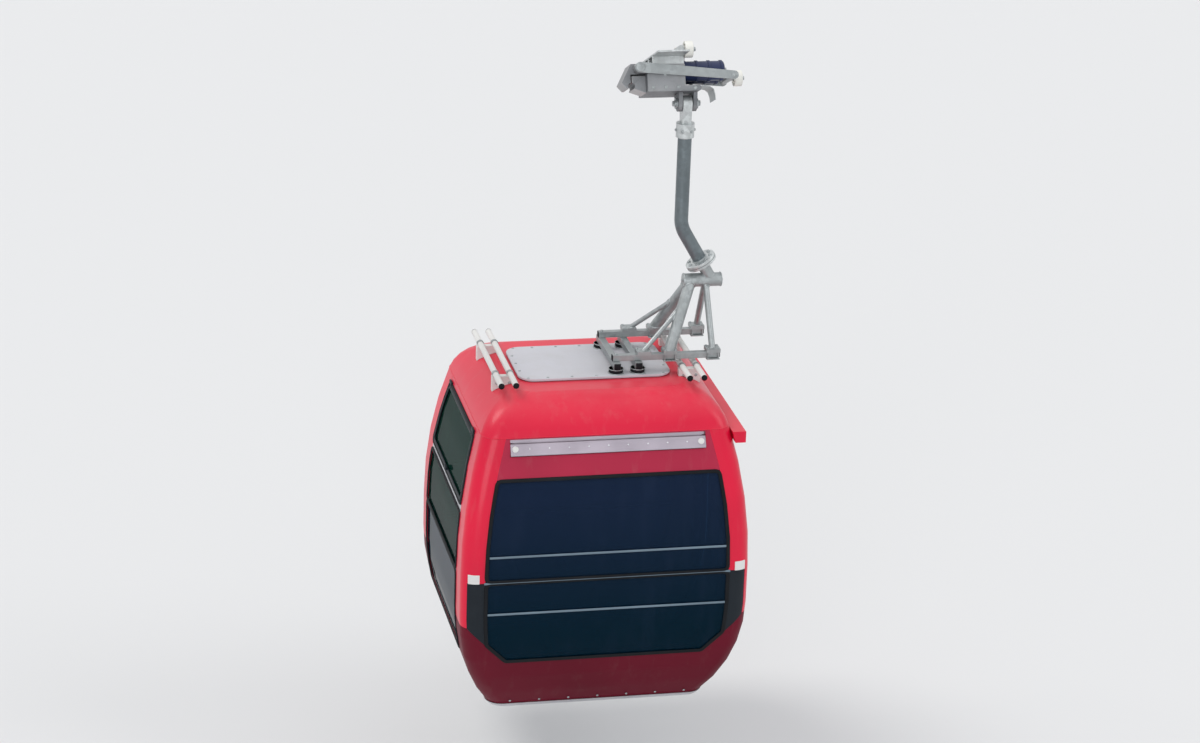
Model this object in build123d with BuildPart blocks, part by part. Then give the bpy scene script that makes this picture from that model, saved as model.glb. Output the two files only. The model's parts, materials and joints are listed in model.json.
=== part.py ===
from build123d import *
import math
import os

# Cable car cabin on its hanger and detachable rope grip, in millimetres.
# The origin is on the rope's axis at the middle of the jaws. +Z is up, +X points to the
# hanger arm and the doors, and the rope falls towards +Y.

# Rope and grip
rope_radius = 21.0
rope_slope = 24.0
jaw_half_length = 80.0
jaw_gap = 4.0
jaw_lip = 14.0
jaw_top = 62.0
jaw_pivot_x = 45.0
jaw_pivot_z = 105.0
jaw_boss_radius = 33.0
jaw_shaft_radius = 15.0
running_clearance = 0.05
fit_clearance = 0.2
moving_clearance = 5.0
seat_gap = 0.3
grip_inner_x = 90.0
grip_block_x = 330.0
grip_outer_x = 430.0
grip_top = 125.0
grip_bottom = -45.0
grip_shelf = 35.0
cheek_thickness = 55.0
lever_thickness = 12.0
lever_end_x = 640.0
lever_end_z = 45.0
lever_end_radius = 26.0
lever_bar_radius = 20.0
lever_gap = 10.0
opening_roller_radius = 50.0
opening_roller_width = 50.0
roller_axle_radius = 14.0
spring_radius = 62.0
spring_length = 260.0
spring_spacing = 140.0
spring_height = 85.0
drive_plate_width = 200.0
drive_plate_length = 600.0
drive_plate_thickness = 12.0
drive_rib_height = 50.0
drive_rib_thickness = 14.0
drive_rib_spacing = 120.0
roller_bracket_thickness = 20.0
running_roller_radius = 52.0
running_roller_width = 50.0
running_roller_spacing = 250.0
bracket_boss_radius = 28.0
roller_tyre_depth = 14.0
roller_hub_wall = 9.0
roller_web_recess = 14.0
casting_round = 16.0
spring_collar_count = 4
spring_collar_width = 14.0
spring_collar_height = 5.0
spring_end_round = 12.0

# Hanger pivot and arm
pin_drop = 105.0
pin_radius = 22.0
pin_head_radius = 34.0
pin_head_length = 12.0
lug_radius = 50.0
lug_thickness = 25.0
lug_root_width = 150.0
lug_root_depth = 2.0
arm_x = 360.0
eye_width = 58.0
neck_length = 125.0
neck_half_width = 34.0
collar_radius = 58.0
collar_length = 90.0
arm_radius = 44.0
arm_wall = 8.0
arm_bend_drop = 900.0
arm_bend_radius = 200.0
arm_end_x = 490.0
arm_end_drop = 1120.0
flange_radius = 100.0
flange_thickness = 18.0
flange_round = 4.0

# Yoke below the arm and the frame on the roof
hub_start_x = 395.0
hub_end_x = 630.0
hub_drop = 1262.0
hub_radius = 44.0
neck_radius = 38.0
inner_leg_radius = 36.0
inner_leg_x = 440.0
outer_leg_radius = 20.0
outer_leg_x = 535.0
brace_radius = 15.0
brace_foot_x = 95.0
brace_share = 0.35
inner_foot_x = 265.0
outer_foot_x = 545.0
foot_length = 90.0
foot_width = 84.0
foot_thickness = 24.0
leg_root_height = 12.0
mount_radius = 45.0
mount_height = 30.0
long_beam_size = 45.0
long_beam_length = 560.0
long_beam_spacing = 140.0
long_beam_place = 205.0
cross_beam_size = 40.0
cross_beam_spacing = 440.0
cross_beam_overhang = 45.0
beam_wall = 4.0

# Cabin body
cabin_x = -215.0
roof_drop = 1780.0
belt_half_width = 925.0
belt_half_length = 825.0
corner_radius = 100.0
wall = 32.0
knee_height = 400.0
turn_height = 720.0
belt_height = 968.0
upper_rise = 912.0
bottom_inset = 235.0
eave_inset = 135.0
roof_radius = 307.0
roof_end_angle = 80.0
post_width = 145.0
side_post_width = 240.0
horn_height = 655.0
horn_run = 245.0
panel_step = 2.0
cap_width = 70.0
cap_height = 60.0
cap_depth = 6.0
cap_margin = 37.0
rim_height = 24.0
rim_outset = 8.0
floor_thickness = 40.0
lid_half_width = 490.0
lid_half_length = 300.0
lid_seat = 8.0
lid_thickness = 12.0
lid_lip = 14.0
ceiling_thickness = 12.0

# Windows and vents
glass_depth = 6.0
glass_thickness = 8.0
vent_band = 123.0
vent_half_width = 620.0
vent_frame = 10.0
vent_back = 6.0
blade_rise = 18.0
blade_height = 58.0
blade_thickness = 8.0
blade_setback = 4.0
blade_reach = 14.0
blade_lip = 12.0
blade_bracket = 22.0
window_drop = 251.0
side_header = 100.0
inner_header = 45.0
mullion_rise = 380.0
mullion_height = 40.0
belt_rail_height = 34.0
belt_rail_depth = 60.0
guard_bar_radius = 13.0
guard_bar_seat = 0.5
guard_bar_heights = (170.0, -214.0)

# Doors
door_half_width = 355.0
jamb_width = 40.0
door_clearance = 8.0
door_thickness = 30.0
door_edge_gap = 2.5
door_overlap = 22.0
door_head_gap = 10.0
door_foot_gap = 6.0
door_travel = 340.0
door_stile = 45.0
door_rail = 40.0
track_reach = 68.0
track_wall = 6.0
track_gap = 2.0
track_height = 74.0
track_length = 1380.0
hanger_plate = 14.0
hanger_width = 90.0
hanger_places = (0.25, 0.75)
guide_half_length = 435.0
guide_gap = 2.0
guide_height = 30.0
guide_wall = 6.0
shoe_thickness = 10.0
shoe_length = 60.0
shoe_setback = 20.0

# Benches and roof rails
bench_height = 430.0
bench_thickness = 40.0
bench_depth = 370.0
bench_gap = 70.0
bench_kick = 20.0
bench_kick_setback = 90.0
bench_half_width = 700.0
rail_radius = 19.0
rail_wall = 4.0
rail_offset = 600.0
rail_pitch = 92.0
rail_length = 1000.0
rail_rise = 40.0
rail_bracket_spacing = 560.0
rail_bracket_width = 40.0
rail_bracket_reach = 140.0

# Places worked out from the sizes
slope = math.radians(rope_slope)
hang_y = -pin_drop * math.sin(slope)
hang_z = -pin_drop * math.cos(slope)
reach = 3000.0


def bulge(rise, full_rise, full_inset):
    """Inset on an arc that leaves the upright wall at no rise and ends at the full inset."""
    radius = (full_rise**2 + full_inset**2) / (2 * full_inset)
    return radius - math.sqrt(radius**2 - rise**2)


# Height above the underside, and inset of the skin from the belt line: the wall curves in below
# the turn height and above the belt, and the roof's shoulder is an arc from the eave to the deck
lower_steps = 5
upper_steps = 4
roof_steps = 6
eave_height = belt_height + upper_rise
body_levels = []
for step in range(lower_steps):
    height = turn_height * step / lower_steps
    body_levels.append((height, bulge(turn_height - height, turn_height, bottom_inset)))
body_levels.append((turn_height, 0.0))
for step in range(upper_steps + 1):
    rise = upper_rise * step / upper_steps
    body_levels.append((belt_height + rise, bulge(rise, upper_rise, eave_inset)))

roof_start = 2 * math.atan(eave_inset / upper_rise)
roof_end = math.radians(roof_end_angle)
roof_centre_height = eave_height - roof_radius * math.sin(roof_start)
roof_centre_inset = eave_inset + roof_radius * math.cos(roof_start)


def roof_level(step, depth):
    """Height and inset of a step along the roof's shoulder, at a depth below the skin."""
    angle = roof_start + (roof_end - roof_start) * step / roof_steps
    radius = roof_radius - depth
    return (
        roof_centre_height + radius * math.sin(angle),
        roof_centre_inset - radius * math.cos(angle),
    )


for step in range(1, roof_steps + 1):
    body_levels.append(roof_level(step, 0))
deck_height = body_levels[-1][0]
body_height = deck_height + lid_seat + lid_thickness
underside_z = -roof_drop - body_height


def inset_at(height):
    """How far the skin stands in from the belt line at a height above the underside."""
    for (low, low_inset), (high, high_inset) in zip(body_levels, body_levels[1:]):
        if height <= high:
            break
    return low_inset + (high_inset - low_inset) * (height - low) / (high - low)


def heights_between(low, high):
    """Both heights with the body's own levels between them."""
    return [low] + [height for height, _ in body_levels if low < height < high] + [high]


def half_width(height):
    return belt_half_width - inset_at(height)


def half_length(height):
    return belt_half_length - inset_at(height)


# Planes of the cabin: a level, the front view (x, height) and the side view (y, height)
def level(height):
    return Plane((cabin_x, hang_y, underside_z + height))


front_view = Plane((cabin_x, hang_y, underside_z), x_dir=(1, 0, 0), z_dir=(0, -1, 0))
side_view = Plane((cabin_x, hang_y, underside_z), x_dir=(0, 1, 0), z_dir=(1, 0, 0))

# Planes of the grip, tilted with the rope: (x, z) across the rope and (y, z) along it
rope_frame = Plane((0, 0, 0), x_dir=(1, 0, 0), z_dir=(0, math.sin(slope), math.cos(slope)))


def on_rope(plane):
    return Plane(rope_frame.location * plane.location)


def along_rope(x):
    """Plane facing +X at a place across the rope, for discs and plates square to X."""
    return on_rope(Plane.YZ.offset(x))


across_rope = on_rope(Plane.XZ)


def body_solid(low, high, inset):
    """The cabin's form between two heights, its walls the given distance inside the skin."""
    heights = heights_between(low, high)
    with BuildPart() as solid:
        for start, end in zip(heights, heights[1:]):
            for height in (start, end):
                with BuildSketch(level(height)):
                    RectangleRounded(
                        2 * (half_width(height) - inset),
                        2 * (half_length(height) - inset),
                        corner_radius - inset,
                    )
            loft(ruled=True)
    return solid.part


def body_shell(low, high, outer, inner):
    """A band of the cabin's wall between two depths below the skin."""
    outside = body_solid(low, high, outer)
    inside = body_solid(low, high, inner)
    with BuildPart() as band:
        add(outside)
        add(inside, mode=Mode.SUBTRACT)
    return band.part


def prism(plane, points, start=-reach, end=reach):
    """A straight-sided block from an outline on a plane, between two distances along its normal."""
    with BuildPart() as block:
        with BuildSketch(plane.offset(start)):
            with BuildLine():
                Polyline(points, close=True)
            make_face()
        extrude(amount=end - start)
    return block.part


def tapered(low, high, half, margin):
    """Outline between two heights that keeps a margin from both edges of a wall."""
    heights = heights_between(low, high)
    right = [(half(height) - margin, height) for height in heights]
    left = [(margin - half(height), height) for height in reversed(heights)]
    return right + left


def between(low, high, first, last):
    return [(first, low), (last, low), (last, high), (first, high)]


inner_side = prism(front_view, between(-reach, reach, -reach, 0))
outer_side = prism(front_view, between(-reach, reach, 0, reach))


def common(*shapes):
    """The solid that several shapes share."""
    with BuildPart() as shared:
        add(shapes[0])
        for shape in shapes[1:]:
            add(shape, mode=Mode.INTERSECT)
    return shared.part


def less(shape, *cutters):
    """A shape with other shapes cut away."""
    with BuildPart() as rest:
        add(shape)
        for cutter in cutters:
            add(cutter, mode=Mode.SUBTRACT)
    return rest.part


# Bands of the wall and the gaps between the corner posts
window_top = eave_height - window_drop
vent_low = eave_height - vent_band
side_top = eave_height - side_header
inner_top = eave_height - inner_header
floor_low = rim_height
floor_high = floor_low + floor_thickness
skirt_band = body_shell(rim_height, knee_height, 0, wall)
lower_band = body_shell(knee_height, belt_height, 0, wall)
upper_band = body_shell(belt_height, eave_height, 0, wall)
side_skirt_gap = prism(side_view, tapered(rim_height, knee_height, half_length, post_width))
end_lower_gap = prism(front_view, tapered(knee_height, belt_height, half_width, post_width))
side_lower_gap = prism(side_view, tapered(knee_height, belt_height, half_length, side_post_width))
end_upper_gap = prism(front_view, tapered(belt_height, eave_height, half_width, post_width))
side_upper_gap = prism(side_view, tapered(belt_height, eave_height, half_length, side_post_width))
door_frame_width = door_half_width + jamb_width
framed_doorway = prism(side_view, between(0, side_top, -door_frame_width, door_frame_width), 0)
clear_doorway = prism(side_view, between(0, side_top, -door_half_width, door_half_width), 0)

# The dark panel of each end: from post to post at the belt, its lower corners cut by the horns
horn_x = half_width(knee_height) - horn_run
panel_zone = prism(
    front_view,
    tapered(horn_height, belt_height, half_width, wall + panel_step)
    + [(-horn_x, knee_height), (horn_x, knee_height)],
)
below_horns = prism(front_view, between(knee_height, horn_height, -reach, reach))
end_walls = less(lower_band, side_lower_gap)
corners = less(end_walls, panel_zone)

# Floor, rim and skirt, whose corners rise as horns beside the dark panels
with BuildPart() as floor:
    add(body_solid(floor_low, floor_high, wall))

with BuildPart() as floor_rim:
    add(body_solid(0, rim_height, -rim_outset))

with BuildPart() as skirt_ends:
    add(less(skirt_band, side_skirt_gap))
    add(common(corners, below_horns))

with BuildPart() as skirt_sides:
    add(less(common(skirt_band, side_skirt_gap), framed_doorway))

# Corner posts: black in the dark panels, and red above the belt and down the sides
with BuildPart() as posts_lower:
    add(less(common(end_walls, panel_zone), end_lower_gap))

with BuildPart() as posts_upper:
    add(less(upper_band, end_upper_gap, side_upper_gap))
    add(less(corners, below_horns))

# Pale caps where the red posts end on the end walls
with BuildPart() as post_caps:
    cap_far = half_width(belt_height) - cap_margin
    for edges in ((-cap_far, cap_width - cap_far), (cap_far - cap_width, cap_far)):
        cap_zone = prism(front_view, between(belt_height, belt_height + cap_height, *edges))
        add(common(body_shell(belt_height, belt_height + cap_height, -cap_depth, 0), cap_zone))


def pane(low, high, gap, zone):
    """Glass in a gap between the corner posts, set a little below the skin."""
    return common(body_shell(low, high, glass_depth, glass_depth + glass_thickness), gap, zone)


# End windows and the header over them, with its long vent opening
with BuildPart() as glass_end_lower:
    add(pane(knee_height, belt_height, end_lower_gap, panel_zone))

with BuildPart() as glass_end_upper:
    window_zone = prism(front_view, between(belt_height, window_top, -reach, reach))
    add(pane(belt_height, window_top, end_upper_gap, window_zone))

vent_base = vent_low + vent_frame
vent_head = eave_height - vent_frame
vent_opening = prism(
    front_view,
    between(vent_base, vent_head, -vent_half_width, vent_half_width),
)
header_zone = prism(front_view, between(window_top, eave_height, -reach, reach))
with BuildPart() as header_ends:
    add(less(common(upper_band, end_upper_gap, header_zone), vent_opening))

# Vents: a back plate in the opening, and a sloped blade with a lip on a bracket at each end
blade_low = vent_base + blade_rise
blade_high = blade_low + blade_height
blade_far = vent_half_width - fit_clearance
with BuildPart() as vent_ends:
    add(
        common(
            body_shell(vent_base, vent_head, wall - vent_back, wall),
            prism(front_view, between(vent_base, vent_head, -blade_far, blade_far)),
        )
    )
    for side in (-1, 1):
        top_y = half_length(blade_high) - blade_setback
        tip_y = half_length(blade_low) + blade_reach
        blade = [
            (side * (top_y - blade_thickness), blade_high),
            (side * top_y, blade_high),
            (side * tip_y, blade_low),
            (side * tip_y, blade_low - blade_lip),
            (side * (tip_y - blade_thickness), blade_low - blade_lip),
            (side * (tip_y - blade_thickness), blade_low),
        ]
        bracket = [
            (side * (half_length(blade_high) - wall), blade_high),
            (side * top_y, blade_high),
            (side * (tip_y - blade_thickness), blade_low),
            (side * (half_length(blade_low) - wall), blade_low),
        ]
        add(prism(side_view, blade, -blade_far, blade_far))
        for start in (-blade_far, blade_far - blade_bracket):
            add(prism(side_view, bracket, start, start + blade_bracket))

# Inner side: dark lower pane, fixed pane, mullion, vent sash and header
mullion_low = belt_height + mullion_rise
mullion_high = mullion_low + mullion_height
with BuildPart() as glass_inner_lower:
    add(pane(knee_height, belt_height, side_lower_gap, inner_side))

with BuildPart() as glass_inner_upper:
    add(pane(belt_height, mullion_low, side_upper_gap, inner_side))

with BuildPart() as vent_sash:
    add(pane(mullion_high, inner_top, side_upper_gap, inner_side))

mullion_zone = prism(side_view, between(mullion_low, mullion_high, -reach, reach))
with BuildPart() as mullion:
    add(common(upper_band, side_upper_gap, inner_side, mullion_zone))

with BuildPart() as side_headers:
    for side_zone, low in ((inner_side, inner_top), (outer_side, side_top)):
        header = prism(side_view, between(low, eave_height, -reach, reach))
        add(common(upper_band, side_upper_gap, header, side_zone))

# Outer side: jambs beside the doorway, sill and narrow panes
whole_wall = body_shell(rim_height, side_top, 0, wall)
with BuildPart() as door_jambs:
    add(less(common(whole_wall, framed_doorway), clear_doorway))

sill_zone = prism(side_view, between(rim_height, floor_high, -reach, reach), 0)
with BuildPart() as door_sill:
    add(common(skirt_band, clear_doorway, sill_zone))

with BuildPart() as glass_outer_lower:
    add(less(pane(knee_height, belt_height, side_lower_gap, outer_side), framed_doorway))

with BuildPart() as glass_outer_upper:
    add(less(pane(belt_height, side_top, side_upper_gap, outer_side), framed_doorway))

# Rails behind the glass at the belt, between the posts
belt_rail_low = belt_height - belt_rail_height / 2
belt_rail_high = belt_height + belt_rail_height / 2
rail_ring = body_shell(belt_rail_low, belt_rail_high, glass_depth + glass_thickness, belt_rail_depth)
with BuildPart() as belt_rails:
    for view, half, margin in (
        (front_view, half_width, post_width),
        (side_view, half_length, side_post_width),
    ):
        gap = prism(view, tapered(belt_rail_low, belt_rail_high, half, margin))
        add(less(common(rail_ring, gap), framed_doorway))

# Guard bars behind the end windows, resting on the inner faces of the posts
with BuildPart() as guard_bars:
    for rise in guard_bar_heights:
        bar_height = belt_height + rise
        bar_y = half_length(bar_height) - wall - guard_bar_radius - guard_bar_seat
        bar_length = 2 * (half_width(bar_height) - post_width + guard_bar_radius)
        for side in (-1, 1):
            with BuildSketch(side_view.offset(-bar_length / 2)):
                with Locations((side * bar_y, bar_height)):
                    Circle(guard_bar_radius)
            extrude(amount=bar_length)

# Roof: arched shell with a flat deck, the lid with its recessed seat, and the ceiling
def dome(depth):
    """The roof's form from the eave to the deck, a depth below the skin."""
    steps = [(eave_height, eave_inset + depth)]
    steps += [roof_level(step, depth) for step in range(1, roof_steps + 1)]
    with BuildPart() as form:
        for level_pair in zip(steps, steps[1:]):
            for height, inset in level_pair:
                with BuildSketch(level(height)):
                    RectangleRounded(
                        2 * (belt_half_width - inset),
                        2 * (belt_half_length - inset),
                        corner_radius - depth,
                    )
            loft(ruled=True)
    return form.part


roof_form = dome(0)
with BuildPart() as roof_slopes:
    add(less(roof_form, dome(wall)))

with BuildPart() as roof_top:
    with BuildSketch(level(deck_height)):
        RectangleRounded(
            2 * (lid_half_width - lid_lip),
            2 * (lid_half_length - lid_lip),
            corner_radius - lid_lip,
        )
    extrude(amount=lid_seat)
    with BuildSketch(level(deck_height + lid_seat)):
        RectangleRounded(2 * lid_half_width, 2 * lid_half_length, corner_radius)
    extrude(amount=lid_thickness)

with BuildPart() as ceiling:
    add(body_solid(eave_height - ceiling_thickness, eave_height, wall))

# Twin rails along both sides of the roof, on brackets that follow the shoulder
rail_height = body_height + rail_rise
rail_lines = [
    side * rail_offset + step * rail_pitch / 2 for side in (-1, 1) for step in (-1, 1)
]
with BuildPart() as roof_rails:
    with BuildSketch(front_view.offset(-rail_length / 2)):
        with Locations(*[(line, rail_height) for line in rail_lines]):
            Circle(rail_radius)
            Circle(rail_radius - rail_wall, mode=Mode.SUBTRACT)
    extrude(amount=rail_length)

with BuildPart() as bracket_blanks:
    with BuildSketch(level(eave_height)):
        with GridLocations(2 * rail_offset, rail_bracket_spacing, 2, 2):
            Rectangle(rail_bracket_reach, rail_bracket_width)
    extrude(amount=rail_height - rail_radius / 2 - eave_height)

with BuildPart() as rail_voids:
    with BuildSketch(front_view.offset(-rail_length / 2)):
        with Locations(*[(line, rail_height) for line in rail_lines]):
            Circle(rail_radius)
    extrude(amount=rail_length)

with BuildPart() as rail_brackets:
    add(less(bracket_blanks.part, roof_form, rail_voids.part))

# Benches along both ends
with BuildPart() as benches:
    add(
        common(
            body_solid(bench_height - bench_thickness, bench_height, wall),
            less(
                prism(side_view, between(0, reach, -reach, reach)),
                prism(
                    side_view,
                    between(
                        0,
                        reach,
                        bench_depth - half_length(bench_height),
                        half_length(bench_height) - bench_depth,
                    ),
                ),
            ),
            prism(front_view, between(0, reach, -bench_half_width, bench_half_width)),
        )
    )

with BuildPart() as bench_kicks:
    kick_y = half_length(bench_height) - bench_depth + bench_kick_setback
    for side in (-1, 1):
        with BuildSketch(level(floor_high)):
            with Locations((0, side * kick_y)):
                Rectangle(2 * (half_width(floor_high) - wall - bench_gap), bench_kick)
        extrude(amount=bench_height - bench_thickness - floor_high)


# Doors: one bent leaf each side of the middle, hung from the track above and guided below
def skin_strip(low, high, near, far):
    """Front-view outline that follows the outer wall between two distances off the skin."""
    heights = heights_between(low, high)
    inside = [(half_width(height) + near, height) for height in heights]
    outside = [(half_width(height) + far, height) for height in reversed(heights)]
    return inside + outside


door_high = side_top - door_head_gap
track_low = side_top + track_gap
track_high = track_low + track_height
guide_low = rim_height + guide_gap
guide_high = guide_low + guide_height
door_low = guide_high + door_foot_gap
door_out = door_clearance + door_thickness
door_middle = door_clearance + door_thickness / 2
leaf_outer_y = door_half_width + door_overlap
leaf_outline = skin_strip(door_low, door_high, door_clearance, door_out)
glass_outline = skin_strip(
    door_low,
    door_high,
    door_middle - glass_thickness / 2,
    door_middle + glass_thickness / 2,
)
lower_pane = (knee_height + door_rail, belt_height - door_rail)
upper_pane = (belt_height + door_rail, door_high - 2 * door_rail)
hanger_x = half_width(door_high) + door_middle
shoe_x = half_width(door_low) + door_middle
guide_floor = guide_low + guide_wall
door_parts = {}
for name, side in (("near", -1), ("far", 1)):
    edges = sorted((side * door_edge_gap, side * leaf_outer_y))
    pane_edges = sorted((side * (door_edge_gap + door_stile), side * (leaf_outer_y - door_stile)))
    windows = [
        prism(side_view, between(*heights, *pane_edges)) for heights in (lower_pane, upper_pane)
    ]
    leaf = prism(front_view, leaf_outline, -edges[1], -edges[0])
    sheet = prism(front_view, glass_outline, -edges[1], -edges[0])
    with BuildPart() as door_leaf:
        add(less(leaf, *windows))
    with BuildPart() as door_glass:
        for window in windows:
            add(common(sheet, window))
    with BuildPart() as door_hanger:
        for place in hanger_places:
            hanger_y = edges[0] + place * (edges[1] - edges[0])
            with BuildSketch(level(door_high)):
                with Locations((hanger_x, hanger_y)):
                    Rectangle(hanger_plate, hanger_width)
            extrude(amount=track_high - track_wall - moving_clearance - door_high)
        with BuildSketch(level(guide_floor + seat_gap)):
            with Locations((shoe_x, side * (shoe_setback + shoe_length / 2))):
                Rectangle(shoe_thickness, shoe_length)
        extrude(amount=door_low - guide_floor - seat_gap)
    door_parts[f"door_{name}"] = door_leaf
    door_parts[f"door_{name}_glass"] = door_glass
    door_parts[f"door_{name}_hanger"] = door_hanger

track_outer_x = half_width(track_low) + track_reach
track_seat = [(half_width(height), height) for height in heights_between(track_low, track_high)]
with BuildPart() as door_track:
    with BuildSketch(front_view.offset(-track_length / 2)):
        with BuildLine():
            Polyline(
                *track_seat,
                (track_outer_x, track_high),
                (track_outer_x, track_low),
                (track_outer_x - track_wall, track_low),
                (track_outer_x - track_wall, track_high - track_wall),
                (half_width(track_low) + track_wall, track_high - track_wall),
                (half_width(track_low) + track_wall, track_low),
                close=True,
            )
        make_face()
    extrude(amount=track_length)

guide_inner_x = shoe_x - shoe_thickness / 2 - moving_clearance
guide_outer_x = shoe_x + shoe_thickness / 2 + moving_clearance
guide_seat = [(half_width(height), height) for height in heights_between(guide_low, guide_high)]
with BuildPart() as door_guide:
    with BuildSketch(front_view.offset(-guide_half_length)):
        with BuildLine():
            Polyline(
                *guide_seat,
                (guide_inner_x, guide_high),
                (guide_inner_x, guide_floor),
                (guide_outer_x, guide_floor),
                (guide_outer_x, guide_high),
                (guide_outer_x + guide_wall, guide_high),
                (guide_outer_x + guide_wall, guide_low),
                close=True,
            )
        make_face()
    extrude(amount=2 * guide_half_length)

# Frame on the roof: rubber mounts, two long beams and two cross beams
mount_top = body_height + mount_height
long_beam_top = mount_top + long_beam_size
cross_beam_top = long_beam_top + cross_beam_size
with BuildPart() as rubber_mounts:
    with BuildSketch(level(body_height)):
        with Locations((long_beam_place, 0)):
            with GridLocations(long_beam_spacing, long_beam_length - 2 * mount_radius, 2, 2):
                Circle(mount_radius)
    extrude(amount=mount_height)

with BuildPart() as long_beams:
    with BuildSketch(front_view.offset(-long_beam_length / 2)):
        with Locations((long_beam_place, mount_top + long_beam_size / 2)):
            with GridLocations(long_beam_spacing, 0, 2, 1):
                Rectangle(long_beam_size, long_beam_size)
                Rectangle(
                    long_beam_size - 2 * beam_wall,
                    long_beam_size - 2 * beam_wall,
                    mode=Mode.SUBTRACT,
                )
    extrude(amount=long_beam_length)

cross_beam_start = long_beam_place - long_beam_spacing / 2 - long_beam_size / 2
cross_beam_end = outer_foot_x - cabin_x + cross_beam_overhang
with BuildPart() as cross_beams:
    with BuildSketch(side_view.offset(cross_beam_start)):
        with Locations((0, long_beam_top + cross_beam_size / 2)):
            with GridLocations(cross_beam_spacing, 0, 2, 1):
                Rectangle(cross_beam_size, cross_beam_size)
                Rectangle(
                    cross_beam_size - 2 * beam_wall,
                    cross_beam_size - 2 * beam_wall,
                    mode=Mode.SUBTRACT,
                )
    extrude(amount=cross_beam_end - cross_beam_start)

# The arm's lower end, where its last stretch leans outward, and the flange pair on it
arm_end = Plane(
    (arm_end_x, hang_y, -arm_end_drop),
    z_dir=(arm_end_x - arm_x, 0, arm_bend_drop - arm_end_drop),
)
with BuildPart() as arm_flanges:
    with BuildSketch(arm_end):
        Circle(flange_radius)
    extrude(amount=2 * flange_thickness)
    fillet(arm_flanges.edges().filter_by(GeomType.CIRCLE), radius=flange_round)

# Yoke: a neck under the flanges, a cross tube, and legs and braces down to the cross beams
hub_z = -hub_drop
foot_low_z = underside_z + cross_beam_top
leg_root_z = foot_low_z + leg_root_height
neck_start = arm_end.offset(2 * flange_thickness)
neck_depth = (neck_start.origin.Z - hub_z) / -neck_start.z_dir.Z
struts = []
feet = []
for side in (-1, 1):
    foot_y = hang_y + side * cross_beam_spacing / 2
    inner_top = Vector(inner_leg_x, hang_y, hub_z)
    outer_top = Vector(outer_leg_x, hang_y, hub_z)
    inner_foot = Vector(inner_foot_x, foot_y, leg_root_z)
    outer_foot = Vector(outer_foot_x, foot_y, leg_root_z)
    brace_foot = Vector(brace_foot_x, foot_y, leg_root_z)
    brace_top = inner_top + (inner_foot - inner_top) * brace_share
    struts.append((inner_top, inner_foot, inner_leg_radius))
    struts.append((outer_top, outer_foot, outer_leg_radius))
    struts.append((brace_top, brace_foot, brace_radius))
    feet += [inner_foot, outer_foot, brace_foot]
with BuildPart() as yoke:
    with BuildSketch(neck_start):
        Circle(neck_radius)
    extrude(amount=neck_depth)
    with BuildSketch(Plane.YZ.offset(hub_start_x)):
        with Locations((hang_y, hub_z)):
            Circle(hub_radius)
    extrude(amount=hub_end_x - hub_start_x)
    for top, foot, radius in struts:
        with BuildSketch(Plane(top, z_dir=foot - top)):
            Circle(radius)
        extrude(amount=(foot - top).length + 2 * radius)
    split(bisect_by=Plane((0, 0, leg_root_z)), keep=Keep.TOP)
    for foot in feet:
        with BuildSketch(Plane((foot.X, foot.Y, foot_low_z))):
            Rectangle(foot_length, foot_width)
        extrude(amount=foot_thickness)

# Hanger arm: eye on the pin, collar and bent tube
with BuildPart() as hanger_head:
    with BuildSketch(Plane.YZ.offset(arm_x - eye_width / 2)):
        with Locations((hang_y, hang_z)):
            Circle(lug_radius)
        with Locations((hang_y, hang_z - neck_length)):
            Rectangle(2 * neck_half_width, 2 * neck_half_width)
        make_hull()
        with Locations((hang_y, hang_z)):
            Circle(pin_radius + running_clearance, mode=Mode.SUBTRACT)
    extrude(amount=eye_width)
    with BuildSketch(Plane((arm_x, hang_y, hang_z - neck_length))):
        Circle(collar_radius)
    extrude(amount=-collar_length)

arm_start_z = hang_z - neck_length - collar_length
with BuildPart() as hanger_arm:
    with BuildLine(Plane.XZ.offset(-hang_y)):
        FilletPolyline(
            (arm_x, arm_start_z),
            (arm_x, -arm_bend_drop),
            (arm_end_x, -arm_end_drop),
            radius=arm_bend_radius,
        )
    with BuildSketch(Plane((arm_x, hang_y, arm_start_z), z_dir=(0, 0, -1))):
        Circle(arm_radius)
        Circle(arm_radius - arm_wall, mode=Mode.SUBTRACT)
    sweep()

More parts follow.
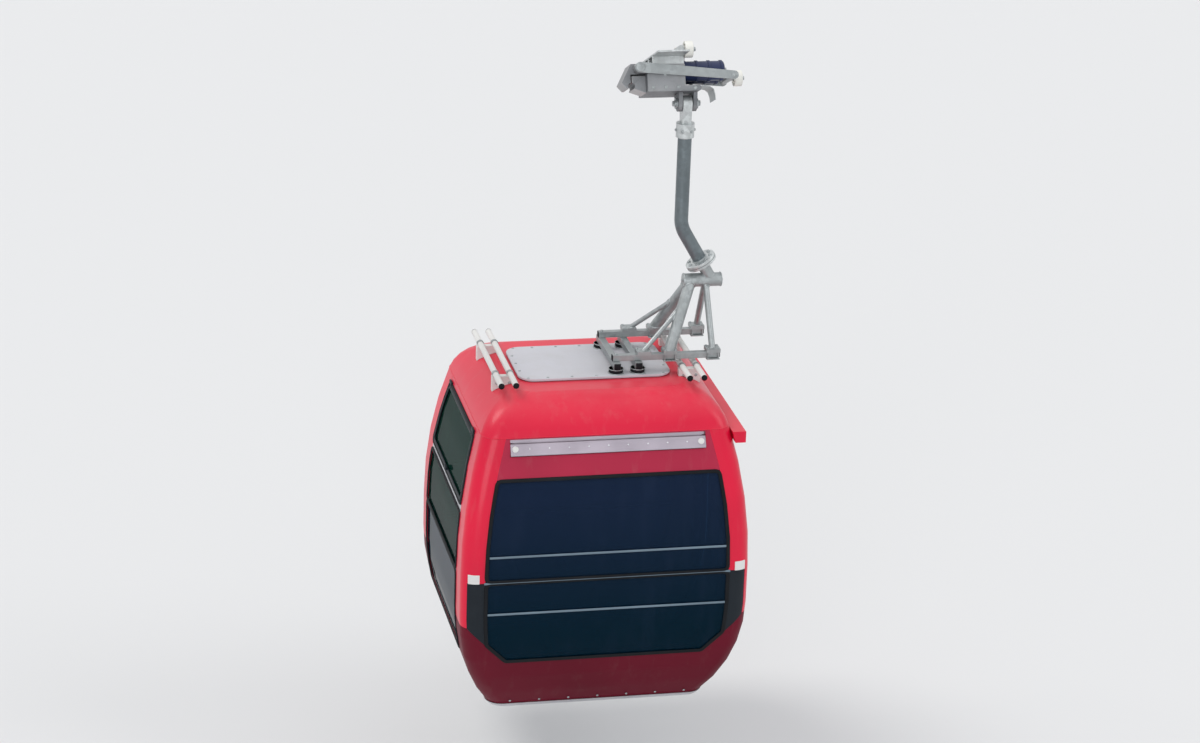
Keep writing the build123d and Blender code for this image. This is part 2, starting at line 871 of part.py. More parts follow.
# Grip body, with the lugs for the hanger pin and the cheeks for the jaw shaft
jaw_pivot = (jaw_pivot_x, jaw_pivot_z)
cheek_inner = jaw_half_length + moving_clearance
cheek_outer = cheek_inner + cheek_thickness
lug_places = (
    arm_x - eye_width / 2 - moving_clearance - lug_thickness,
    arm_x + eye_width / 2 + moving_clearance,
)
with BuildPart() as grip_body:
    with BuildSketch(across_rope) as casting:
        with BuildLine():
            Polyline(
                (grip_inner_x, grip_bottom),
                (grip_outer_x, grip_bottom),
                (grip_outer_x, grip_bottom + grip_shelf),
                (grip_block_x, grip_bottom + grip_shelf),
                (grip_block_x, grip_top),
                (grip_inner_x, grip_top),
                close=True,
            )
        make_face()
        shelf_corners = casting.vertices().filter_by_position(Axis.X, grip_outer_x, grip_outer_x)
        fillet(shelf_corners, radius=casting_round)
    extrude(amount=cheek_outer, both=True)
    for side in (-1, 1):
        with BuildSketch(across_rope.offset(side * cheek_inner)):
            with Locations(jaw_pivot):
                Circle(jaw_boss_radius)
            with Locations((grip_inner_x + jaw_boss_radius, jaw_pivot_z - jaw_boss_radius / 2)):
                Rectangle(2 * jaw_boss_radius, jaw_boss_radius)
            make_hull()
        extrude(amount=side * cheek_thickness)
    with BuildSketch(across_rope):
        with Locations(jaw_pivot):
            Circle(jaw_shaft_radius + running_clearance)
    extrude(amount=reach, both=True, mode=Mode.SUBTRACT)
    for lug_x in lug_places:
        with BuildSketch(along_rope(lug_x)):
            with Locations((0, -pin_drop)):
                Circle(lug_radius)
            with Locations((0, grip_bottom + lug_root_depth / 2)):
                Rectangle(lug_root_width, lug_root_depth)
            make_hull()
            with Locations((0, -pin_drop)):
                Circle(pin_radius, mode=Mode.SUBTRACT)
        extrude(amount=lug_thickness)

with BuildPart() as fixed_jaw:
    with BuildSketch(across_rope):
        with BuildLine():
            Polyline(
                (jaw_gap, -jaw_lip),
                (grip_inner_x, grip_bottom),
                (grip_inner_x, jaw_top),
                (jaw_gap, jaw_top),
                close=True,
            )
        make_face()
        Circle(rope_radius, mode=Mode.SUBTRACT)
    extrude(amount=jaw_half_length, both=True)

with BuildPart() as movable_jaw:
    with BuildSketch(across_rope):
        with BuildLine():
            Polyline(
                (-jaw_gap, -jaw_lip),
                (-jaw_gap, jaw_pivot_z - jaw_boss_radius),
                (jaw_pivot_x, jaw_pivot_z - jaw_boss_radius),
                (jaw_pivot_x, jaw_pivot_z + jaw_boss_radius),
                (0, jaw_pivot_z + jaw_boss_radius),
                (-jaw_top, rope_radius),
                (-jaw_top / 2, -jaw_lip),
                close=True,
            )
        make_face()
        with Locations(jaw_pivot):
            Circle(jaw_boss_radius)
            Circle(jaw_shaft_radius + fit_clearance, mode=Mode.SUBTRACT)
        Circle(rope_radius, mode=Mode.SUBTRACT)
    extrude(amount=jaw_half_length, both=True)

lever_start = cheek_outer + lever_gap
shaft_half_length = lever_start + lever_thickness + moving_clearance
with BuildPart() as jaw_shaft:
    with BuildSketch(across_rope):
        with Locations(jaw_pivot):
            Circle(jaw_shaft_radius)
    extrude(amount=shaft_half_length, both=True)

with BuildPart() as opening_lever:
    for side in (-1, 1):
        with BuildSketch(across_rope.offset(side * lever_start)):
            with Locations(jaw_pivot):
                Circle(jaw_boss_radius)
            with Locations((lever_end_x, lever_end_z)):
                Circle(lever_end_radius)
            make_hull()
            with Locations(jaw_pivot):
                Circle(jaw_shaft_radius + fit_clearance, mode=Mode.SUBTRACT)
        extrude(amount=side * lever_thickness)
    with BuildSketch(across_rope):
        with Locations((lever_end_x, lever_end_z)):
            Circle(lever_bar_radius)
    extrude(amount=lever_start, both=True)
    with BuildSketch(along_rope(lever_end_x)):
        with Locations((0, lever_end_z)):
            Circle(roller_axle_radius)
    extrude(amount=lever_end_radius + opening_roller_width + 2 * moving_clearance)


def roller(x, place, radius, width):
    """A roller with its bore, and a web recessed on both faces between hub and tyre."""
    with BuildPart() as wheel:
        with BuildSketch(along_rope(x)):
            with Locations(place):
                Circle(radius)
                Circle(roller_axle_radius + running_clearance, mode=Mode.SUBTRACT)
        extrude(amount=width)
        for start, side in ((x, 1), (x + width, -1)):
            with BuildSketch(along_rope(start)):
                with Locations(place):
                    Circle(radius - roller_tyre_depth)
                    Circle(roller_axle_radius + roller_hub_wall, mode=Mode.SUBTRACT)
            extrude(amount=side * roller_web_recess, mode=Mode.SUBTRACT)
    return wheel


opening_roller = roller(
    lever_end_x + lever_end_radius + moving_clearance,
    (0, lever_end_z),
    opening_roller_radius,
    opening_roller_width,
)

with BuildPart() as hanger_pin:
    with BuildSketch(along_rope(lug_places[0])):
        with Locations((0, -pin_drop)):
            Circle(pin_radius)
    extrude(amount=lug_places[1] + lug_thickness - lug_places[0])
    for start, side in ((lug_places[0], -1), (lug_places[1] + lug_thickness, 1)):
        with BuildSketch(along_rope(start)):
            with Locations((0, -pin_drop)):
                Circle(pin_head_radius)
        extrude(amount=side * pin_head_length)

# Spring housings: round-ended barrels with collars, side by side on the grip's outer face
collar_pitch = (spring_length - spring_end_round - spring_collar_width) / (spring_collar_count - 1)
with BuildPart() as spring_housings:
    with BuildSketch(along_rope(grip_block_x)):
        with Locations((0, spring_height)):
            with GridLocations(spring_spacing, 0, 2, 1):
                Circle(spring_radius)
    extrude(amount=spring_length)
    barrel_ends = spring_housings.faces().sort_by(Axis.X)[-2:]
    fillet(barrel_ends.edges(), radius=spring_end_round)
    for step in range(spring_collar_count):
        with BuildSketch(along_rope(grip_block_x + step * collar_pitch)):
            with Locations((0, spring_height)):
                with GridLocations(spring_spacing, 0, 2, 1):
                    Circle(spring_radius + spring_collar_height)
        extrude(amount=spring_collar_width)

# Drive plate on ribs, and the bracket that carries the running rollers
drive_plate_height = grip_top + drive_rib_height
drive_plate_x = grip_block_x - drive_plate_width / 2
with BuildPart() as drive_plate:
    with BuildSketch(on_rope(Plane.XY.offset(drive_plate_height))):
        with Locations((drive_plate_x, 0)):
            Rectangle(drive_plate_width, drive_plate_length)
    extrude(amount=drive_plate_thickness)
    for step in (-1, 0, 1):
        with BuildSketch(on_rope(Plane.XY.offset(grip_top))):
            with Locations((drive_plate_x, step * drive_rib_spacing)):
                Rectangle(drive_plate_width, drive_rib_thickness)
        extrude(amount=drive_plate_height - grip_top)

bracket_x = grip_block_x - roller_bracket_thickness
bracket_low = drive_plate_height + drive_plate_thickness
spring_top = spring_height + spring_radius + spring_collar_height
running_roller_height = max(
    bracket_low + bracket_boss_radius,
    spring_top + moving_clearance + running_roller_radius,
)
with BuildPart() as roller_bracket:
    with BuildSketch(along_rope(bracket_x)):
        with Locations((0, running_roller_height)):
            with GridLocations(running_roller_spacing, 0, 2, 1):
                Circle(bracket_boss_radius)
        with Locations((0, bracket_low + roller_axle_radius)):
            Rectangle(running_roller_spacing, 2 * roller_axle_radius)
        make_hull()
    extrude(amount=roller_bracket_thickness)
    with BuildSketch(along_rope(grip_block_x)):
        with Locations((0, running_roller_height)):
            with GridLocations(running_roller_spacing, 0, 2, 1):
                Circle(roller_axle_radius)
    extrude(amount=running_roller_width + 3 * moving_clearance)

running_rollers = {}
for name, side in (("near", -1), ("far", 1)):
    running_rollers[f"running_roller_{name}"] = roller(
        grip_block_x + moving_clearance,
        (side * running_roller_spacing / 2, running_roller_height),
        running_roller_radius,
        running_roller_width,
    )

# Every piece under its node's name
pieces = {
    "floor": floor,
    "floor_rim": floor_rim,
    "skirt_ends": skirt_ends,
    "skirt_sides": skirt_sides,
    "posts_lower": posts_lower,
    "posts_upper": posts_upper,
    "post_caps": post_caps,
    "glass_end_lower": glass_end_lower,
    "glass_end_upper": glass_end_upper,
    "header_ends": header_ends,
    "vent_ends": vent_ends,
    "glass_inner_lower": glass_inner_lower,
    "glass_inner_upper": glass_inner_upper,
    "vent_sash": vent_sash,
    "mullion": mullion,
    "side_headers": side_headers,
    "door_jambs": door_jambs,
    "door_sill": door_sill,
    "glass_outer_lower": glass_outer_lower,
    "glass_outer_upper": glass_outer_upper,
    "belt_rails": belt_rails,
    "guard_bars": guard_bars,
    "roof_slopes": roof_slopes,
    "roof_top": roof_top,
    "ceiling": ceiling,
    "roof_rails": roof_rails,
    "rail_brackets": rail_brackets,
    "benches": benches,
    "bench_kicks": bench_kicks,
    "door_track": door_track,
    "door_guide": door_guide,
    "rubber_mounts": rubber_mounts,
    "long_beams": long_beams,
    "cross_beams": cross_beams,
    "yoke": yoke,
    "hanger_head": hanger_head,
    "hanger_arm": hanger_arm,
    "arm_flanges": arm_flanges,
    "grip_body": grip_body,
    "fixed_jaw": fixed_jaw,
    "movable_jaw": movable_jaw,
    "jaw_shaft": jaw_shaft,
    "opening_lever": opening_lever,
    "opening_roller": opening_roller,
    "hanger_pin": hanger_pin,
    "spring_housings": spring_housings,
    "drive_plate": drive_plate,
    "roller_bracket": roller_bracket,
}
pieces.update(door_parts)
pieces.update(running_rollers)

os.makedirs("parts", exist_ok=True)
for name, piece in pieces.items():
    piece.part.label = name
    export_step(piece.part, f"parts/{name}.step")
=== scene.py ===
import json
import math

import bmesh
import bpy
from mathutils import Matrix, Vector


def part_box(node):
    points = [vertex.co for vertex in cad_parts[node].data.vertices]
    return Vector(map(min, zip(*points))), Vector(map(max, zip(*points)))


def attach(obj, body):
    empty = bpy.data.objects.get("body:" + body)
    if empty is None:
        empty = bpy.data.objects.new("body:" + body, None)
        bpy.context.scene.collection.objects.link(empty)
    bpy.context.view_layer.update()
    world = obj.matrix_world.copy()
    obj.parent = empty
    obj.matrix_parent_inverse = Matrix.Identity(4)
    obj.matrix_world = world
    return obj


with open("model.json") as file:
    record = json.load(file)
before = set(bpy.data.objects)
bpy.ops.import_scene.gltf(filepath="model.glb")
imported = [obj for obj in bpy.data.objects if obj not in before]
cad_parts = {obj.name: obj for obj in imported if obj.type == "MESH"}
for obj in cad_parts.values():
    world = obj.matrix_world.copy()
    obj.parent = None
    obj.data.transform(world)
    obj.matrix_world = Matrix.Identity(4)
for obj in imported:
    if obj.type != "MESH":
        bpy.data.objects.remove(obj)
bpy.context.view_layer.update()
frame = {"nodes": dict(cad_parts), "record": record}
nodes = frame["nodes"]


def span(node):
    """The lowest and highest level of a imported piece."""
    low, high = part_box(node)
    return low.z, high.z


def even(low, high, count):
    """A count of values evenly spaced from low to high."""
    return [low + (high - low) * step / (count - 1) for step in range(count)]


# The cabin's skin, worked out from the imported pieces. The wall is upright between the turn and the
# belt, curves in on an arc below and above them, and the roof's shoulder is an arc up to the deck.
rim_outset = 0.008
turn_rise = 0.72
roof_radius = 0.307
roof_end = math.radians(80.0)
lower_levels = 6
upper_levels = 5
roof_levels = 7
rim_low, rim_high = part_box("floor_rim")
posts_low, posts_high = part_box("posts_upper")
roof_low, roof_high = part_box("roof_slopes")
lid_low, lid_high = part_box("roof_top")
centre = (posts_low + posts_high) / 2
underside_z = rim_low.z
turn_z = underside_z + turn_rise
knee_z = span("skirt_sides")[1]
horn_z = span("skirt_ends")[1]
belt_z = span("posts_lower")[1]
eave_z = posts_high.z
belt_half = ((posts_high.x - posts_low.x) / 2, (posts_high.y - posts_low.y) / 2)
bottom_inset = belt_half[0] - (rim_high.x - rim_low.x) / 2 + rim_outset
eave_inset = belt_half[0] - (roof_high.x - roof_low.x) / 2


def bulge(rise, full_rise, full_inset):
    """Inset on an arc that leaves the upright wall at no rise and ends at the full inset."""
    radius = (full_rise**2 + full_inset**2) / (2 * full_inset)
    return radius - math.sqrt(radius**2 - rise**2)


roof_start = 2 * math.atan(eave_inset / (eave_z - belt_z))
levels = [
    (z, bulge(turn_z - z, turn_rise, bottom_inset)) for z in even(underside_z, turn_z, lower_levels)
]
levels += [
    (z, bulge(z - belt_z, eave_z - belt_z, eave_inset)) for z in even(belt_z, eave_z, upper_levels)
]
for angle in even(roof_start, roof_end, roof_levels)[1:]:
    rise = roof_radius * (math.sin(angle) - math.sin(roof_start))
    levels.append((eave_z + rise, eave_inset + roof_radius * (math.cos(roof_start) - math.cos(angle))))


def inset_at(z):
    """How far the skin stands in from the belt line at a height."""
    for (low, low_inset), (high, high_inset) in zip(levels, levels[1:]):
        if z <= high:
            break
    return low_inset + (high_inset - low_inset) * (z - low) / (high - low)


def half_width(z):
    return belt_half[0] - inset_at(z)


def half_length(z):
    return belt_half[1] - inset_at(z)


# Materials: node trees built by short calls
def toned(colour, factor, lift=0.0):
    """A colour made darker or lighter."""
    return tuple(min(1.0, factor * part + lift) for part in colour)


class Tree:
    """A node tree of a material or the world. Its calls take numbers, colours and outputs."""

    def __init__(self, owner):
        owner.use_nodes = True
        self.tree = owner.node_tree

    def node(self, kind):
        return self.tree.nodes.new(kind)

    def link(self, out, into):
        self.tree.links.new(out, into)

    def give(self, socket, value):
        """Sets a socket to a number or a colour, or links another node's output to it."""
        if isinstance(value, tuple):
            socket.default_value = (*value, 1.0)
        elif isinstance(value, float):
            socket.default_value = value
        else:
            self.link(value, socket)

    def ramp(self, value, low, high, start=0.0, end=1.0):
        """A value mapped from low..high to start..end and kept between them."""
        node = self.node("ShaderNodeMapRange")
        node.inputs["From Min"].default_value = low
        node.inputs["From Max"].default_value = high
        node.inputs["To Min"].default_value = start
        node.inputs["To Max"].default_value = end
        self.link(value, node.inputs["Value"])
        return node.outputs["Result"]

    def maths(self, operation, first, second):
        node = self.node("ShaderNodeMath")
        node.operation = operation
        self.give(node.inputs[0], first)
        self.give(node.inputs[1], second)
        return node.outputs["Value"]

    def mix(self, factor, first, second):
        """Mix of two colours by a value."""
        node = self.node("ShaderNodeMix")
        node.data_type = "RGBA"
        self.link(factor, node.inputs["Factor"])
        self.give(node.inputs[6], first)
        self.give(node.inputs[7], second)
        return node.outputs[2]

    def upward(self, vector):
        """The upward part of a vector."""
        split = self.node("ShaderNodeSeparateXYZ")
        self.link(vector, split.inputs["Vector"])
        return split.outputs["Z"]

    def shown(self):
        """1 for rays from the camera and for those mirrored or passed on by the object, else 0."""
        rays = self.node("ShaderNodeLightPath").outputs
        seen_or_mirrored = self.maths("MAXIMUM", rays["Is Camera Ray"], rays["Is Glossy Ray"])
        return self.maths("MAXIMUM", seen_or_mirrored, rays["Is Transmission Ray"])


class Shade(Tree):
    """A material with short calls for its textures and its shader."""

    def __init__(self, name):
        self.material = bpy.data.materials.new(name)
        super().__init__(self.material)
        self.bsdf = self.tree.nodes["Principled BSDF"]
        self.coords = self.node("ShaderNodeTexCoord").outputs["Object"]

    def set(self, **values):
        for name, value in values.items():
            self.give(self.bsdf.inputs[name.replace("_", " ")], value)

    def texture(self, kind, scale, stretch=(1, 1, 1)):
        """A texture node in the object's own coordinates."""
        mapping = self.node("ShaderNodeMapping")
        mapping.inputs["Scale"].default_value = stretch
        self.link(self.coords, mapping.inputs["Vector"])
        node = self.node(kind)
        node.inputs["Scale"].default_value = scale
        self.link(mapping.outputs["Vector"], node.inputs["Vector"])
        return node

    def noise(self, scale, detail=3.0, rough=0.5, stretch=(1, 1, 1)):
        node = self.texture("ShaderNodeTexNoise", scale, stretch)
        node.inputs["Detail"].default_value = detail
        node.inputs["Roughness"].default_value = rough
        return node.outputs["Fac"]

    def cells(self, scale, output):
        return self.texture("ShaderNodeTexVoronoi", scale).outputs[output]

    def geometry(self, output):
        return self.node("ShaderNodeNewGeometry").outputs[output]

    def see_through(self, share, colour=(1.0, 1.0, 1.0)):
        """Lets a share of the light straight through, tinted by a colour."""
        clear = self.node("ShaderNodeBsdfTransparent")
        self.give(clear.inputs["Color"], colour)
        blend = self.node("ShaderNodeMixShader")
        self.give(blend.inputs["Fac"], share)
        self.link(self.bsdf.outputs["BSDF"], blend.inputs[1])
        self.link(clear.outputs["BSDF"], blend.inputs[2])
        self.link(blend.outputs["Shader"], self.tree.nodes["Material Output"].inputs["Surface"])

    def bump(self, *layers):
        """Bump from (value, strength, distance) layers, coarse to fine."""
        normal = None
        for value, strength, distance in layers:
            node = self.node("ShaderNodeBump")
            node.inputs["Strength"].default_value = strength
            node.inputs["Distance"].default_value = distance
            self.link(value, node.inputs["Height"])
            if normal is not None:
                self.link(normal, node.inputs["Normal"])
            normal = node.outputs["Normal"]
        self.link(normal, self.bsdf.inputs["Normal"])


def paint(name, base, dust, rough=0.34, coat=0.15, settled=0.3, specular=0.28):
    """Sprayed gloss paint: faint tone changes, rain streaks, and dust settled on what faces up."""
    shade = Shade(name)
    tones = shade.ramp(shade.noise(1.3, 2.0), 0.3, 0.7)
    coloured = shade.mix(tones, toned(base, 0.86), toned(base, 1.06))
    streaks = shade.ramp(shade.noise(14.0, 4.0, 0.6, (1, 1, 0.07)), 0.55, 0.95, 0.0, 0.28)
    streaked = shade.mix(streaks, coloured, dust)
    patches = shade.ramp(shade.noise(5.0, 5.0, 0.65), 0.32, 0.72, 0.35, 1.0)
    upward = shade.ramp(shade.upward(shade.geometry("Normal")), 0.45, 1.0, 0.0, settled)
    film = shade.maths("MULTIPLY", upward, patches)
    shade.set(Base_Color=shade.mix(film, streaked, dust))
    shade.set(Roughness=shade.ramp(film, 0.0, 0.4, rough, rough + 0.25))
    shade.set(Coat_Weight=coat, Coat_Roughness=0.12, Specular_IOR_Level=specular)
    shade.bump((shade.noise(3.0, 1.0), 0.1, 0.008), (shade.noise(320.0, 2.0), 0.05, 0.0006))
    return shade.material


def metal(name, base, rough, metallic=0.9):
    """Bare metal with a grain along X."""
    shade = Shade(name)
    brushed = shade.noise(90.0, 3.0, 0.6, (0.05, 1, 1))
    cloud = shade.ramp(shade.noise(4.0, 3.0), 0.3, 0.7)
    shade.set(Base_Color=shade.mix(cloud, toned(base, 0.78), base))
    shade.set(Roughness=shade.ramp(brushed, 0.3, 0.7, rough - 0.08, rough + 0.12))
    shade.set(Metallic=metallic)
    shade.bump((brushed, 0.08, 0.0008))
    return shade.material


def galvanised(name, base):
    """Hot-dip zinc with its crystal spangle, run marks and dull patches."""
    shade = Shade(name)
    split = shade.node("ShaderNodeSeparateColor")
    shade.link(shade.cells(46.0, "Color"), split.inputs["Color"])
    crystal = split.outputs["Red"]
    dull = shade.ramp(shade.noise(5.0, 4.0, 0.6), 0.35, 0.7)
    bright = shade.mix(crystal, toned(base, 0.74), base)
    shade.set(Base_Color=shade.mix(dull, bright, toned(base, 0.68)))
    shade.set(Roughness=shade.ramp(crystal, 0.0, 1.0, 0.34, 0.52))
    shade.set(Metallic=0.72)
    shade.bump((shade.noise(9.0, 3.0, 0.5, (1, 1, 0.3)), 0.12, 0.004), (crystal, 0.04, 0.0006))
    return shade.material


def casting(name, base, bright):
    """Cast steel: grainy skin with darker patches, rubbed bright on the edges."""
    shade = Shade(name)
    grain = shade.noise(160.0, 4.0, 0.65)
    cloud = shade.ramp(shade.noise(7.0, 3.0), 0.3, 0.7)
    skin_colour = shade.mix(cloud, toned(base, 0.6), base)
    worn = shade.ramp(shade.geometry("Pointiness"), 0.52, 0.58)
    shade.set(Base_Color=shade.mix(worn, skin_colour, bright))
    shade.set(Roughness=shade.ramp(grain, 0.3, 0.7, 0.42, 0.62))
    shade.set(Metallic=0.65)
    shade.bump((grain, 0.25, 0.001))
    return shade.material


def plastic(name, base, rough, grain, strength, specular):
    """Moulded plastic or rubber with a fine grain and a little dust."""
    shade = Shade(name)
    cloud = shade.ramp(shade.noise(3.0, 4.0, 0.6), 0.4, 0.8)
    shade.set(Base_Color=shade.mix(cloud, base, toned(base, 1.25, 0.006)))
    fine = shade.noise(grain, 2.0)
    shade.set(Roughness=shade.ramp(fine, 0.3, 0.7, rough - 0.05, rough + 0.08))
    shade.set(Specular_IOR_Level=specular)
    shade.bump((fine, strength, 0.0006))
    return shade.material


# Heights between which the panes' painted reflection and shade change, from deeper below to lighter
# above
reflection_shade_low_z = -3.3
reflection_shade_high_z = -2.4


def tinted(name, low_colour, high_colour, through_colour, through, specular):
    """Tinted acrylic glass: a body colour with painted reflection and shade, lighter above and deeper
    below, part see-through, with streaks of light dirt."""
    shade = Shade(name)
    painted_reflection_ramp = shade.ramp(shade.upward(shade.coords), reflection_shade_low_z, reflection_shade_high_z)
    tint_and_painted_reflection = shade.mix(painted_reflection_ramp, low_colour, high_colour)
    runs = shade.ramp(shade.noise(9.0, 5.0, 0.65, (1, 1, 0.12)), 0.5, 0.9, 0.0, 0.4)
    shade.set(Base_Color=shade.mix(runs, tint_and_painted_reflection, toned(high_colour, 1.5, 0.02)))
    shade.set(Roughness=shade.ramp(shade.noise(6.0, 5.0, 0.65, (1, 1, 0.25)), 0.45, 0.9, 0.05, 0.16))
    shade.set(Specular_IOR_Level=specular, IOR=1.49, Specular_Tint=(0.55, 0.80, 1.0))
    shade.see_through(through, through_colour)
    shade.bump((shade.noise(1.6, 1.0), 0.08, 0.01))
    return shade.material


def vinyl(name, base):
    """Seat cover of embossed vinyl: a leather grain, paler where it is worn."""
    shade = Shade(name)
    grain = shade.cells(230.0, "Distance")
    worn = shade.ramp(shade.noise(7.0, 3.0), 0.35, 0.75)
    shade.set(Base_Color=shade.mix(worn, base, toned(base, 1.5)))
    shade.set(Roughness=shade.ramp(grain, 0.0, 0.6, 0.56, 0.40))
    shade.set(Specular_IOR_Level=0.35)
    shade.bump((grain, 0.2, 0.0008))
    return shade.material


def studded(name, base):
    """Rubber floor with round studs."""
    shade = Shade(name)
    wear = shade.ramp(shade.noise(5.0), 0.3, 0.7)
    shade.set(Base_Color=shade.mix(wear, base, toned(base, 1.6)))
    shade.set(Roughness=0.7)
    stud = shade.ramp(shade.cells(40.0, "Distance"), 0.25, 0.35, 1.0, 0.0)
    shade.bump((stud, 0.4, 0.0015))
    return shade.material


# For each slot: the function that makes its finish, and that function's values
recipes = {
    "red_paint": (paint, (0.72, 0.006, 0.042), (0.55, 0.18, 0.18)),
    # The skirt's dark red: the red paint made much darker, painted shade of the downward-facing skirt;
    # also used on the door guide, the doors' lower skin and the guide's end plates
    "dark_red_paint": (paint, (0.135, 0.005, 0.018), (0.20, 0.09, 0.09), 0.5, 0.0, 0.2, 0.15),
    "black_frame": (plastic, (0.006, 0.010, 0.015), 0.48, 220.0, 0.12, 0.22),
    "grey_paint": (paint, (0.57, 0.57, 0.62), (0.44, 0.43, 0.41), 0.5, 0.0, 0.4),
    "white_paint": (paint, (0.74, 0.73, 0.71), (0.48, 0.46, 0.42), 0.45, 0.1),
    "aluminium": (metal, (0.68, 0.68, 0.71), 0.34),
    "galvanised": (galvanised, (0.44, 0.47, 0.475)),
    "cast_steel": (casting, (0.20, 0.21, 0.225), (0.50, 0.50, 0.50)),
    "blue_paint": (paint, (0.018, 0.028, 0.085), (0.10, 0.10, 0.13), 0.38, 0.2),
    # Pane colours below and above: the change between them is painted reflection and shade, and the
    # side panes' greener upper colour is a painted green reflection
    "tinted_glass": (
        tinted, (0.002, 0.022, 0.042), (0.016, 0.032, 0.078), (0.12, 0.25, 0.38), 0.5, 0.15,
    ),
    "side_glass": (
        tinted, (0.006, 0.030, 0.028), (0.012, 0.070, 0.052), (0.15, 0.38, 0.32), 0.68, 0.08,
    ),
    "roller_tyre": (plastic, (0.74, 0.73, 0.68), 0.42, 120.0, 0.06, 0.3),
    "rubber": (plastic, (0.006, 0.007, 0.009), 0.66, 220.0, 0.12, 0.16),
    "seat": (plastic, (0.10, 0.11, 0.13), 0.4, 220.0, 0.12, 0.4),
    "floor": (studded, (0.03, 0.03, 0.032)),
}
finishes = {slot: make(slot, *values) for slot, (make, *values) in recipes.items()}
# A darker copy of the red paint for the band above the end windows: painted shade
shade_painted_red = paint("shade_painted_red", (0.44, 0.022, 0.060), (0.40, 0.16, 0.16), 0.4, 0.0, 0.2, 0.2)
dark_strip = metal("dark_strip", (0.17, 0.235, 0.29), 0.4, 0.3)
# A lighter copy of the galvanised finish: painted highlight, on the hanger's head, drive plate, roller
# bracket and arm flanges
highlight_painted_zinc = galvanised("highlight_painted_zinc", (0.66, 0.69, 0.69))
seat_cover = vinyl("seat_cover", (0.07, 0.078, 0.095))
special_finish = {
    # The hanger's arm in a darker copy of the galvanised finish: painted shade
    "hanger_arm": galvanised("shade_painted_zinc", (0.20, 0.235, 0.25)),
    # The vent blade in a darker, purplish metal: painted shade of the gaps above and below it
    "vent_ends": metal("shade_painted_vent_blade", (0.47, 0.42, 0.48), 0.4),
    "hanger_head": highlight_painted_zinc,
    "drive_plate": highlight_painted_zinc,
    "roller_bracket": highlight_painted_zinc,
    "arm_flanges": highlight_painted_zinc,
    "header_ends": shade_painted_red,
    "door_track": finishes["red_paint"],
    "door_guide": finishes["dark_red_paint"],
}

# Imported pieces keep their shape: each gets its finish, softened edges and smooth curved walls
slot_of = {row["node"]: row["material_slot"] for row in frame["record"]["subparts"]}
edge_radius = {"tinted_glass": 0.001, "side_glass": 0.001, "cast_steel": 0.004}
plain_edge = 0.0025
for name, piece in nodes.items():
    slot = slot_of[name]
    piece.data.materials.clear()
    piece.data.materials.append(special_finish.get(name, finishes[slot]))
    if piece.data.has_custom_normals:
        piece.data.attributes.remove(piece.data.attributes["custom_normal"])
    for attribute in ("sharp_edge", "sharp_face"):
        if attribute in piece.data.attributes:
            piece.data.attributes.remove(piece.data.attributes[attribute])
    piece.data.shade_smooth()
    joined = piece.modifiers.new("joined_faces", "WELD")
    joined.merge_threshold = 0.00002
    bevel = piece.modifiers.new("soft_edges", "BEVEL")
    bevel.width = edge_radius.get(slot, plain_edge)
    bevel.segments = 2
    bevel.limit_method = "ANGLE"
    bevel.angle_limit = math.radians(32)
    weighted = piece.modifiers.new("flat_faces", "WEIGHTED_NORMAL")
    weighted.weight = 60


# Shapes that the details share
upright = Vector((0, 0, 1))


def add_piece(name, builder, slot, body="cabin", finish=None):
    """Turns a bmesh into a piece with its slot's finish or a given one, which rides on a body."""
    data = bpy.data.meshes.new(name)
    bmesh.ops.recalc_face_normals(builder, faces=builder.faces)
    builder.to_mesh(data)
    builder.free()
    piece = bpy.data.objects.new(name, data)
    bpy.context.scene.collection.objects.link(piece)
    data.materials.append(finishes[slot] if finish is None else finish)
    data.shade_smooth()
    data.set_sharp_from_angle(angle=math.radians(35))
    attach(piece, body)
    return piece


def join_rings(builder, rings, closed=False):
    """Faces between rings of points, and flat ends unless the last ring joins the first."""
    spans = list(zip(rings, rings[1:]))
    if closed:
        spans.append((rings[-1], rings[0]))
    for ring, following in spans:
        for index in range(len(ring)):
            step = (index + 1) % len(ring)
            builder.faces.new((ring[index], ring[step], following[step], following[index]))
    if not closed:
        builder.faces.new(list(reversed(rings[0])))
        builder.faces.new(rings[-1])


def spread(low, high, longest=0.12):
    """Values from low to high, no further apart than the longest step."""
    return even(low, high, max(1, math.ceil((high - low) / longest)) + 1)


def pitched(pitch, count):
    """A count of places one pitch apart, with their middle at zero."""
    return [pitch * (step - (count - 1) / 2) for step in range(count)]


def from_edges(low, high, *insets):
    """Places set in from a low and a high edge by each inset."""
    return [edge + inward * inset for edge, inward in ((low, 1), (high, -1)) for inset in insets]


def circle(radius, sides, first=0.0):
    """Points evenly spaced round a circle, where first turns them by a share of one step."""
    angles = [2 * math.pi * (step + first) / sides for step in range(sides)]
    return [(radius * math.cos(angle), radius * math.sin(angle)) for angle in angles]


def sweep(builder, path, section, closed=False, up=None):
    """Sweeps a closed section (pairs along side and up) along a path of points.
    The up direction is one vector, a list with one for each point, or free."""
    rings = []
    count = len(path)
    guide = None
    for number, point in enumerate(path):
        before = Vector(path[number - 1] if closed or number > 0 else point)
        after = Vector(path[(number + 1) % count] if closed or number < count - 1 else point)
        ahead = (after - before).normalized()
        if isinstance(up, list):
            guide = up[number]
        elif up is not None:
            guide = Vector(up)
        elif guide is None:
            guide = ahead.orthogonal()
        side = ahead.cross(guide).normalized()
        top = side.cross(ahead).normalized()
        guide = top if up is None else guide
        stretch = 1.0
        if closed or 0 < number < count - 1:
            stretch = 1.0 / max(0.3, (Vector(point) - before).normalized().dot(ahead))
        rings.append([
            builder.verts.new(Vector(point) + side * (x * stretch) + top * y) for x, y in section
        ])
    join_rings(builder, rings, closed)


